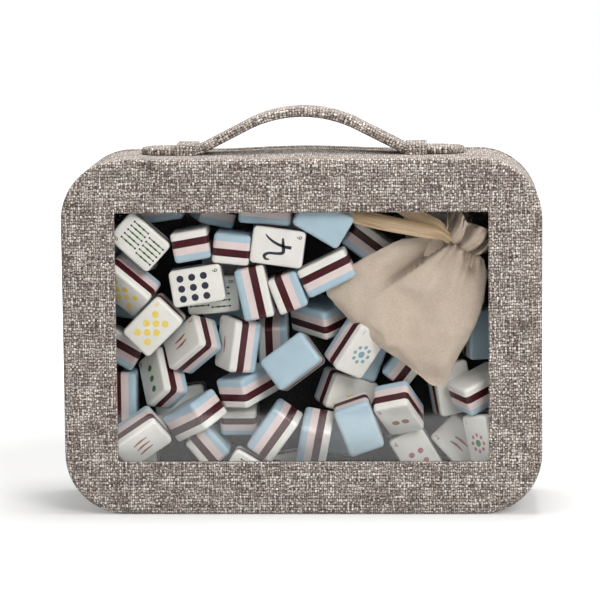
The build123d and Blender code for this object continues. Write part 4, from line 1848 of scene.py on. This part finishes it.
# ---- pouch
@dataclass
class Pouch:
    """Soft cotton pouch with a gathered neck, its ruffle and its ribbon."""

    front: float = -35.6
    thickness: float = 21.0
    neck: Pair = (98.0, 163.5)
    hub: Pair = (70.0, 128.0)
    tail: Pair = (85.0, 80.0)
    tip: Pair = (16.0, 136.0)
    cap_move: float = 4.0
    fold_line: tuple[Pair, Pair] = ((60.0, 144.5), (86.0, 162.0))
    gather_line: tuple[Pair, Pair] = ((84.0, 170.0), (107.0, 155.0))
    dent: Pair = (100.5, 149.0)
    dip: Pair = (92.0, 128.0)
    ruffle_foot: tuple[Pair, Pair] = ((84.0, 169.5), (105.5, 156.0))
    ruffle_rim: tuple[Pair, Pair] = ((89.0, 187.0), (119.5, 166.0))
    ribbon_width: float = 10.2
    ribbon_thickness: float = 0.35
    long_line: tuple[Triple, ...] = (
        *((90.0, 4.6, 166.5), (82.0, 3.4, 171.2), (70.0, 2.8, 173.6)),
        *((50.0, 2.4, 177.6), (32.0, 2.4, 182.2), (14.0, 2.6, 187.8)),
    )
    short_line: tuple[Triple, ...] = (
        *((90.0, 8.6, 167.5), (83.0, 7.6, 173.4), (74.0, 6.8, 178.2)),
        *((66.0, 6.6, 182.6), (56.0, 6.6, 189.5)),
    )
    outline: tuple[Pair, ...] = (
        *((15.4, 137.0), (22.0, 143.4), (33.0, 153.2), (47.0, 161.0), (60.0, 167.6), (72.0, 169.6), (84.0, 170.6)),
        *((93.0, 168.0), (103.0, 162.6), (111.2, 156.0), (113.4, 147.0), (112.6, 138.0), (110.8, 129.0)),
        *((106.6, 116.0), (100.2, 102.0), (93.6, 89.5), (88.6, 79.2), (86.0, 77.2), (78.4, 78.4), (70.0, 84.6)),
        *((59.0, 93.2), (46.0, 102.8), (34.0, 113.4), (24.0, 124.0), (17.0, 132.4), (14.9, 135.2)),
    )

    def dense_outline(self, count: int = 176) -> list[Pair]:
        """Outline as a smooth closed line of even steps.

        Args:
            count: How many points.

        Returns:
            The points.
        """
        knots = [Vector(knot) for knot in self.outline]
        fine = []
        total = len(knots)
        for index in range(total):
            span = (knots[index - 1], knots[index], knots[(index + 1) % total], knots[(index + 2) % total])
            fine += [spline(*span, share) for share in around(0, 1, 12)[:-1]]
        lengths = [0.0]
        for one, two in zip(fine, fine[1:] + fine[:1]):
            lengths.append(lengths[-1] + (two - one).length)
        spots = np.interp(np.linspace(0, lengths[-1], count, endpoint=False), lengths, range(len(fine) + 1))
        loop = fine + fine[:1]
        points = []
        for spot in spots:
            index = int(spot)
            point = loop[index].lerp(loop[min(index + 1, len(fine))], spot - index)
            points.append((point.x, point.y))
        return points

    def blank(self) -> Draft:
        """The pouch before it is filled: two panels joined at the edge."""
        rim = self.dense_outline()
        hub = Vector(self.hub)
        middle = self.front + self.thickness / 2
        draft = Draft()
        rings = []
        shares = [0.05, 0.16, 0.28, 0.4, 0.52, 0.63, 0.73, 0.82, 0.89, 0.94, 0.975, 1.0]
        for side in (1.0, -1.0):
            order = shares if side > 0 else shares[-2::-1]
            for share in order:
                ring = []
                for x, z in rim:
                    spot = hub.lerp(Vector((x, z)), share)
                    puff = (1 - share**3.2) ** 0.6
                    room = 0.40 + 0.60 * smooth_step(math.dist(spot, self.neck), 6, 60)
                    low_side = 0.55 + 0.45 * smooth_step(math.dist(spot, self.tail), 0, 55)
                    low_side *= 0.6 + 0.4 * smooth_step(math.dist(spot, self.tip), 0, 45)
                    half = (self.thickness / 2 - 2.4) * puff * room * low_side
                    ring.append((spot.x, middle + side * half, spot.y))
                rings.append(ring)
        draft.close(draft.loft(rings))
        return draft

    def creases(self, point: Vector) -> Pair:
        """Fold, gathers and dents of the cloth at a place, with painted shade in them.

        Args:
            point: The place, in millimetres.

        Returns:
            How far the cloth moves to the front, in millimetres, and how much painted shade it gets for lying deep in
            a fold, from 0.
        """
        x, z = point.x, point.z
        start, stop = (Vector(end) for end in self.fold_line)
        way = (stop - start).normalized()
        offset = Vector((x, z)) - start
        along = offset.dot(way)
        above = way.x * offset.y - way.y * offset.x
        length = (stop - start).length
        span = smooth_step(along, -24, 10) * (1 - smooth_step(along, length - 1, length + 9))
        # deep is painted shade: along the fold line, in the valleys of the gathers and in the dent
        deep = 0.62 * hill(above - 1.6, 2.6) * span
        deep += 0.22 * hill(above - 6.0, 6.5) * span
        move = (-7.0 * hill(above, 9.5) if above >= 0 else hill(above, 11.0)) * span
        first, last = self.gather_line
        across = (Vector(last) - Vector(first)).normalized()
        reach = Vector((x - first[0], z - first[1]))
        beside, below = reach.dot(across), reach.dot(Vector((across.y, -across.x)))
        fan = (beside - 11.0) / (1 + max(below, 0.0) / 34.0)
        inside = smooth_step(beside, -2, 5) * (1 - smooth_step(beside, 27, 36))
        pucker = math.cos(2 * math.pi * fan / 5.4 + 1.1 * math.sin(fan * 0.6))
        deep += 0.75 * max(-pucker - 0.1, 0.0) * (fade(below, 9.0) * smooth_step(below, -4, 1) * inside)
        move += 3.6 * pucker * fade(below, 10.5) * smooth_step(below, -3, 2) * inside
        second = math.cos(2 * math.pi * fan / 11.5 + 0.9)
        deep += 0.3 * max(-second, 0.0) * fade(below, 20.0) * smooth_step(below, 2, 8) * inside
        move += 2.0 * second * fade(below, 22.0) * smooth_step(below, 2, 10) * inside
        dent = Vector((x - self.dent[0], (z - self.dent[1]) * 0.7)).length
        move -= 3.4 * hill(dent, 6.5)
        deep += 0.34 * hill(dent, 4.6)
        move -= 1.6 * hill(Vector((x - self.dip[0], z - self.dip[1])).length, 11.0)
        move += 3.4 * noise.noise(Vector((x * 0.055, z * 0.055, 3.7))) - 1.2
        move += 0.5 * noise.noise(Vector((x * 0.15, z * 0.15, 9.1)))
        return move, deep

    def fill(self, bag: Piece) -> Piece:
        """Fill the pouch by simulation, held at its neck.

        Args:
            bag: The blank pouch.

        Returns:
            The filled pouch, with no modifier left.
        """
        remesh = bag.modifiers.new("remesh", "REMESH")
        remesh.mode = "VOXEL"
        remesh.voxel_size = 2.2 * MM
        bag = settled("pouch_fill", bag, COTTON)
        rest = [vertex.co.copy() for vertex in bag.data.vertices]
        held = bag.vertex_groups.new(name="held")
        for vertex in bag.data.vertices:
            spot = (vertex.co.x / MM, vertex.co.z / MM)
            weight = 1 - smooth_step(math.dist(spot, self.neck), 10, 22)
            held.add([vertex.index], weight, "REPLACE")
        cloth = bag.modifiers.new("cloth", "CLOTH")
        settings = {
            "quality": 6,
            "mass": 0.15,
            "tension_stiffness": 12,
            "compression_stiffness": 12,
            "shear_stiffness": 4,
            "bending_stiffness": 0.25,
            "shrink_min": -0.05,
            "use_pressure": True,
            "uniform_pressure_force": 1.6,
            "vertex_group_mass": held.name,
        }
        for word, value in settings.items():
            setattr(cloth.settings, word, value)
        cloth.settings.effector_weights.gravity = 0
        scene = bpy.context.scene
        for step in range(1, 19):
            scene.frame_set(step)
        graph = bpy.context.evaluated_depsgraph_get()
        moved = bag.evaluated_get(graph).to_mesh()
        places = []
        cap = self.cap_move * MM
        for vertex, start in zip(moved.vertices, rest):
            move = vertex.co - start
            if move.length > cap:
                move *= cap / move.length
            places.append(start + move)
        bag.modifiers.remove(cloth)
        scene.frame_set(1)
        for vertex, place in zip(bag.data.vertices, places):
            vertex.co = place
        bag.vertex_groups.clear()
        smooth = bag.modifiers.new("smooth", "SUBSURF")
        smooth.levels = 1
        smooth.render_levels = 1
        return settled("pouch_bag_cloth", bag, COTTON)

    def bag(self) -> Piece:
        """The filled pouch with its creases and puckers, and painted shade in them."""
        filled = self.fill(self.blank().make("pouch_blank", [COTTON], 80))
        deepest = self.front + self.thickness + 2.0
        painted_shades = []
        for vertex in filled.data.vertices:
            point = vertex.co / MM
            facing = smooth_step(self.front + self.thickness / 2 + 1 - point.y, 0.0, 4.0)
            move, deep = self.creases(point)
            y = point.y - move * facing
            vertex.co.y = min(max(y, self.front), deepest) * MM
            # painted shade in the folds on the front of the pouch
            painted_shades.append(deep * facing)
        paint_fold_shade(filled, painted_shades)
        filled.data.polygons.foreach_set("use_smooth", [True] * len(filled.data.polygons))
        filled.data.set_sharp_from_angle(angle=math.radians(85))
        return filled

    def ruffle(self) -> Piece:
        """Mouth of the pouch above the ribbon, in deep pleats, with painted shade."""
        columns, rows = 180, 20
        start = [Vector(end) for end in self.ruffle_foot]
        stop = [Vector(end) for end in self.ruffle_rim]
        lining, drawn_in = 0.86, 0.14
        middle = self.front + self.thickness / 2 + 0.8
        rings, weave = [], []
        painted_shades: list[list[float]] = []
        for row in range(rows + 1):
            up = row / rows
            ring, cloth = [], []
            painted_shades.append([])
            spread = smooth_step(up, 0.0, 0.6)
            for column in range(columns):
                turn = 2 * math.pi * column / columns
                side = 0.5 - 0.5 * math.cos(turn)
                edge = start[0].lerp(start[1], side).lerp(stop[0].lerp(stop[1], side), up)
                waves = math.sin(turn * 9 + 1.1 * math.sin(turn * 2 + up) + 0.9 * up)
                waves += 0.45 * math.sin(turn * 17 + 1.0 - 1.6 * up)
                deep = 5.0 + 2.4 * spread
                y = middle - math.sin(turn) * deep + waves * (1.5 + 2.3 * spread)
                swing = 1.5 * math.sin(turn * 6 + up * 2.6) * spread
                roll = 2.2 * math.sin(math.pi * min(up * 1.15, 1.0))
                ring.append((edge.x + swing + roll * 0.5, max(y, self.front), edge.y + swing * 0.7 - roll * 0.35))
                cloth.append((column * 0.8, row * 1.4))
                # painted shade: a little all over, more in the valleys of the pleats and near the foot
                painted_shades[-1].append(0.1 + 0.5 * max(waves - 0.1, 0.0) + 0.35 * (1 - smooth_step(up, 0.0, 0.22)))
            rings.append(ring)
            weave.append(cloth + cloth[:1])
        for ring in reversed(rings[:]):
            core = sum((Vector(point) for point in ring), Vector()) / columns
            rings.append([tuple(value * lining + at * drawn_in for value, at in zip(point, core)) for point in ring])
        weave += list(reversed(weave))
        draft = Draft()
        draft.close(draft.loft(rings, weave))
        ruffle = draft.make("pouch_ruffle_cloth", [COTTON], 80)
        outside = [depth for row_shades in painted_shades for depth in row_shades]
        # painted shade on the turned-in inside, darker than the outside
        paint_fold_shade(ruffle, outside + [0.8] * (len(draft.points) - len(outside)))
        return ruffle

    def ribbon(self, name: str, line: Sequence[Triple], twist: float) -> Piece:
        """One end of the drawstring ribbon.

        Args:
            name: The piece's name.
            line: Points along its middle.
            twist: How far it rolls about its length by its end, in degrees.

        Returns:
            The ribbon.
        """
        centres = smooth_line(line, 10)
        half, thick = self.ribbon_width / 2, self.ribbon_thickness
        rings, weave = [], []
        walked = 0.0
        for index, centre in enumerate(centres):
            if index:
                walked += (centre - centres[index - 1]).length
            ahead = (centres[min(index + 1, len(centres) - 1)] - centres[max(index - 1, 0)]).normalized()
            share = index / (len(centres) - 1)
            out = Vector((0, -1, 0))
            side = out.cross(ahead).normalized()
            roll = Matrix.Rotation(math.radians(twist + 14 * math.sin(5 * share)), 3, ahead)
            side = roll @ side
            out = ahead.cross(side)
            pinch = 0.42 + 0.52 * smooth_step(share, 0.0, 0.34)
            fold = 0.4 + 1.9 * (1 - smooth_step(share, 0.05, 0.6))
            ring, cloth = [], []
            for face in (0.5, -0.5):
                for step in around(-1, 1, 12) if face > 0 else around(1, -1, 12):
                    cup = fold * math.cos(2.6 * step + 0.5) * 0.5
                    ring.append(tuple(centre + side * half * step * pinch + out * (cup + thick * face)))
                    cloth.append((step * half + 10 - 20 * face, walked))
            rings.append(ring)
            weave.append(cloth + cloth[:1])
        draft = Draft()
        draft.close(draft.loft(rings, weave), flat=True)
        made = draft.make(name, [SATIN], 50)
        return made

    def build(self) -> list[Piece]:
        """Make the pouch's pieces and set them in the case."""
        bag = self.bag()
        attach(bag, "case")
        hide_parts("pouch_bag")
        ruffle = self.ruffle()
        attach(ruffle, "case")
        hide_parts("pouch_ruffle")
        y = self.front + 0.5
        long_end = self.ribbon("pouch_ribbon_long", [(x, y + lift, z) for x, lift, z in self.long_line], 18.0)
        short_end = self.ribbon("pouch_ribbon_short", [(x, y + lift, z) for x, lift, z in self.short_line], -14.0)
        for piece in (long_end, short_end):
            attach(piece, "case")
        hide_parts("pouch_drawstring")
        return [bag, ruffle, long_end, short_end]


# ---- zipper and hinge
@dataclass
class ZipperAndHinge:
    """Teeth of the two zipper halves, and the cloth hinge along the floor."""

    teeth_pitch: float = 1.6
    tooth: Triple = (0.75, 1.05, 0.85)
    case_teeth: float = 24.5
    lid_teeth: float = 26.5
    outset: float = 0.55
    stop_half: float = 105.3
    hinge_half: float = 100.0
    hinge_front: float = 29.7
    hinge_top: float = 7.8
    hinge_cloth: float = 0.5
    back: float = 40.0

    def row_tree(self, name: str) -> Wiring:
        """Tree that sets a tooth at every pitch of a line.

        Args:
            name: The tree's name.

        Returns:
            The wiring of the tree, which has inputs for the pitch and the tooth's size.
        """
        wiring, given, result = geometry_tree(name, {"Pitch": "NodeSocketFloat", "Tooth": "NodeSocketVector"})
        line = wiring.add("GeometryNodeMeshToCurve")
        wiring.wire(line, {"Mesh": given.outputs["Geometry"]})
        places = wiring.add("GeometryNodeCurveToPoints", mode="LENGTH")
        wiring.wire(places, {"Curve": line.outputs["Curve"], "Length": given.outputs["Pitch"]})
        solid = wiring.add("GeometryNodeMeshCylinder", fill_type="NGON")
        wiring.wire(solid, {"Vertices": 10, "Radius": 0.5, "Depth": 1.0})
        upright = wiring.add("FunctionNodeAlignRotationToVector", axis="Z")
        wiring.wire(upright, {"Vector": places.outputs["Tangent"]})
        level = wiring.add("FunctionNodeAlignRotationToVector", axis="Y", pivot_axis="Z")
        wiring.wire(level, {"Rotation": upright.outputs["Rotation"], "Vector": (0, 1, 0)})
        stamp = {
            "Points": places.outputs["Points"],
            "Instance": solid.outputs["Mesh"],
            "Rotation": level.outputs["Rotation"],
            "Scale": given.outputs["Tooth"],
        }
        wiring.wire(result, {"Geometry": stamped_solids(wiring, stamp, TEETH)})
        return wiring

    def teeth(self, name: str, outline: RoundedFrame, depth: float, shift: float) -> Piece:
        """One half of the zipper's teeth.

        Args:
            name: The piece's name.
            outline: Outline of the case.
            depth: Where the row lies, from front to back.
            shift: How far the row starts beyond the stop.

        Returns:
            The teeth as one piece.
        """
        ring = outline.ring(self.outset)
        lower_left = len(ring) - outline.side_steps
        path: list[Triple] = [(self.stop_half + shift, depth, self.outset)]
        path += [(x, depth, z) for x, z in ring[: lower_left + 1]]
        path.append((-self.stop_half, depth, self.outset))
        mesh = bpy.data.meshes.new(name)
        mesh.from_pydata(in_metres(path), [(index, index + 1) for index in range(len(path) - 1)], [])
        line = placed(f"{name}_line", mesh)
        along, wide, high = self.tooth
        sizes = {"Pitch": self.teeth_pitch * MM, "Tooth": (high * MM, wide * MM, along * MM)}
        run_tree(line, self.row_tree(name), sizes)
        return settled(name, line, TEETH)

    def hinge(self) -> Piece:
        """Strip of cloth from the floor up the back of the lid."""
        bend = 0.7
        outside = [(y, 0.0) for y in around(self.hinge_front, self.back - bend, 6)]
        for angle in around(-math.pi / 2, 0, 6)[1:]:
            outside.append((self.back - bend + bend * math.cos(angle), bend + bend * math.sin(angle)))
        outside += [(self.back, z) for z in around(bend, self.hinge_top, 5)[1:]]
        inside = [(min(y, self.back - self.hinge_cloth), max(z, self.hinge_cloth)) for y, z in reversed(outside)]
        loop = outside + inside
        walked = walk(loop)
        rings, weave = [], []
        for x in around(-self.hinge_half, self.hinge_half, 40):
            rings.append([(x, y + 0.05 if z > 0.6 else y, z) for y, z in loop])
            weave.append([(x, step) for step in walked])
        draft = Draft()
        draft.close(draft.loft(rings, weave), flat=True)
        return draft.make("hinge_strip", [HINGE_CLOTH], 50)

    def build(self, outline: RoundedFrame) -> list[Piece]:
        """Make the teeth and the hinge, and set the teeth on their bodies.

        Args:
            outline: Outline of the case.

        Returns:
            The pieces.
        """
        case_teeth = self.teeth("zipper_teeth_case", outline, self.case_teeth, 0.0)
        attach(case_teeth, "case")
        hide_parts("zipper_chain_case")
        lid_teeth = self.teeth("zipper_teeth_lid", outline, self.lid_teeth, self.teeth_pitch / 2)
        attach(lid_teeth, "back_lid")
        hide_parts("zipper_chain_lid")
        hinge = self.hinge()
        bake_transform(hinge)
        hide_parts("hinge_strip_case", "hinge_strip_lid")
        return [case_teeth, lid_teeth, hinge]


# ---- carried-over nodes
@dataclass(frozen=True)
class KeptNodes:
    """Finishes, each with the nodes that it dresses and whose own shape is shown."""

    finishes: tuple[tuple[Finish, tuple[str, ...]], ...] = (
        (BOARD, ("front_board", "gusset_board", "back_board", "rim_board")),
        (FILM, ("window_pane",)),
        (LINING, ("front_lining", "gusset_lining", "back_lining")),
        (TAPE, ("zipper_tape_case", "zipper_tape_lid")),
        (NICKEL, ("zipper_stops", "keeper_anchor_plates", "slider_body", "slider_pin", "pull_tab")),
    )

    def build(self) -> None:
        """Give each node its finish."""
        for finish, names in self.finishes:
            for name in names:
                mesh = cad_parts[name].data
                mesh.materials.clear()
                mesh.materials.append(finish.material())


# ---- light and camera
@dataclass(frozen=True)
class Lamp:
    """Soft square lamp, with its place and target in millimetres and its power in watts."""

    name: str
    place: Triple
    target: Triple
    size: float
    power: float
    tint: Triple

    def build(self) -> None:
        """Set the lamp in the scene."""
        light = bpy.data.lights.new(self.name, "AREA")
        light.size = self.size * MM
        light.energy = self.power
        light.color = self.tint
        lamp = placed(self.name, light)
        lamp.location = Vector(self.place) * MM
        way = (Vector(self.target) - Vector(self.place)).normalized()
        lamp.rotation_euler = way.to_track_quat("-Z", "Y").to_euler()


@dataclass
class Studio:
    """Pale floor and backdrop, soft lamps and the camera."""

    eye: Triple = (84.2, -1822.0, 375.4)
    yaw: float = 2.730
    pitch: float = 7.776
    roll: float = -0.555
    focal: float = 2989.0
    picture: float = 600.0
    sensor: float = 36.0
    ambient: float = 0.5
    floor_tones: Pair = (0.54, 0.56)
    floor_glow: float = 0.26
    floor_fade: Pair = (260.0, 420.0)
    card_near: float = -379.0
    card_far: float = -1900.0
    card_reach: float = 700.0
    card_lift: float = 0.5
    lamps: tuple[Lamp, ...] = (
        Lamp("overhead", (100, 12, 1500), (0, 0, 120), 460, 18.0, (1.0, 0.99, 0.975)),
        Lamp("side", (700, -1190, 1060), (0, 0, 100), 700, 16.5, (1.0, 0.995, 0.985)),
    )

    def ground(self) -> Piece:
        """Round pale floor, which a camera sees fade into the white backdrop."""
        draft = Draft()
        reaches = (150.0, 400.0, 900.0, 1800.0, 3200.0)
        rings = [[(r * math.cos(a), r * math.sin(a), -0.02) for a in around(0, 2 * math.pi, 64)[:-1]] for r in reaches]
        draft.cap(draft.loft(rings)[0])
        material, wiring, shader = new_material("studio_ground")
        place = wiring.place()
        stops = [(at, (tone, tone, tone, 1)) for at, tone in zip((0.3, 0.7), self.floor_tones)]
        reach = wiring.add("ShaderNodeVectorMath", operation="LENGTH")
        wiring.feed(place, reach.inputs[0])
        fade_start, fade_length = self.floor_fade
        away = wiring.math("DIVIDE", wiring.minus(reach.outputs["Value"], fade_start), fade_length)
        away = wiring.math("MINIMUM", wiring.math("MAXIMUM", away, 0.0), 1.0)
        looks = {
            "Base Color": wiring.ramp(wiring.noise(place, 0.004), stops),
            "Roughness": 0.9,
            "Specular IOR Level": 0.1,
            "Emission Color": (1, 1, 1, 1),
            "Emission Strength": wiring.times(seen_rays(wiring), wiring.between(away, self.floor_glow, 1.0)),
        }
        wiring.wire(shader, looks)
        mesh = bpy.data.meshes.new("studio_ground")
        mesh.from_pydata(in_metres(draft.points), [], draft.faces)
        mesh.materials.append(material)
        turn_outward(mesh)
        if mesh.polygons[0].normal.z < 0:
            mesh.flip_normals()
        return placed("studio_ground", mesh)

    def card(self) -> Piece:
        """Black card on the floor before the case, seen only in reflections."""
        material, wiring, shader = new_material("studio_card")
        wiring.wire(shader, {"Base Color": (0.004, 0.004, 0.004, 1), "Roughness": 1.0, "Specular IOR Level": 0.0})
        near, far, reach, up = self.card_near, self.card_far, self.card_reach, self.card_lift
        corners = [(-reach, far, up), (reach, far, up), (reach, near, up), (-reach, near, up)]
        mesh = bpy.data.meshes.new("studio_card")
        mesh.from_pydata(in_metres(corners), [], [(0, 1, 2, 3)])
        mesh.materials.append(material)
        card = placed("studio_card", mesh)
        card.visible_camera = False
        card.visible_diffuse = False
        card.visible_transmission = False
        card.visible_shadow = False
        return card

    def world(self) -> None:
        """Even light all round, seen as white."""
        world = bpy.data.worlds.new("studio")
        world.use_nodes = True
        bpy.context.scene.world = world
        wiring = Wiring(world.node_tree)
        strength = wiring.between(seen_rays(wiring), self.ambient, 1.0)
        wiring.wire(world.node_tree.nodes["Background"], {"Color": (1, 1, 1, 1), "Strength": strength})

    def camera(self) -> None:
        """Set the camera by its place, its angles in degrees and its focal length in pixels."""
        yaw, pitch, roll = (math.radians(value) for value in (self.yaw, self.pitch, self.roll))
        ahead = Vector((-math.sin(yaw) * math.cos(pitch), math.cos(yaw) * math.cos(pitch), -math.sin(pitch)))
        right = Vector((math.cos(yaw), math.sin(yaw), 0))
        up = right.cross(ahead)
        right_rolled = right * math.cos(roll) + up * math.sin(roll)
        up_rolled = up * math.cos(roll) - right * math.sin(roll)
        data = bpy.data.cameras.new("camera")
        data.sensor_width = self.sensor
        data.sensor_fit = "HORIZONTAL"
        data.lens = self.focal * self.sensor / self.picture
        data.clip_end = 100
        camera = placed("camera", data)
        turn = Matrix((right_rolled, up_rolled, -ahead)).transposed()
        camera.matrix_world = Matrix.Translation(Vector(self.eye) * MM) @ turn.to_4x4()
        bpy.context.scene.camera = camera

    def build(self) -> None:
        """Set up everything round the case."""
        self.ground()
        self.card()
        self.world()
        for lamp in self.lamps:
            lamp.build()
        self.camera()
        bpy.context.scene.view_settings.view_transform = "Standard"


def seen_rays(wiring: Wiring) -> Socket:
    """1 for rays that show the backdrop: from the camera, by a mirror or through glass.

    Args:
        wiring: The tree to build in.

    Returns:
        1 for such a ray and 0 for others.
    """
    path = wiring.add("ShaderNodeLightPath")
    total = wiring.plus(path.outputs["Is Camera Ray"], path.outputs["Is Glossy Ray"])
    return wiring.math("MINIMUM", wiring.plus(total, path.outputs["Is Transmission Ray"]), 1.0)


def main() -> None:
    """Build every piece in order and report each one."""
    logging.basicConfig(level=logging.INFO, format="%(message)s")
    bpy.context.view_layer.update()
    Studio().build()
    KeptNodes().build()
    case = SoftCase()
    groups = {
        "case": case.build(),
        "handle": Handle().build(),
        "zipper and hinge": ZipperAndHinge().build(case.shell()),
        "tiles": TileSet().build(),
        "pouch": Pouch().build(),
    }
    for word, pieces in groups.items():
        for piece in pieces:
            log.info("%s: %s, %d faces", word, piece.name, len(piece.data.polygons))


if __name__ == "__main__":
    main()
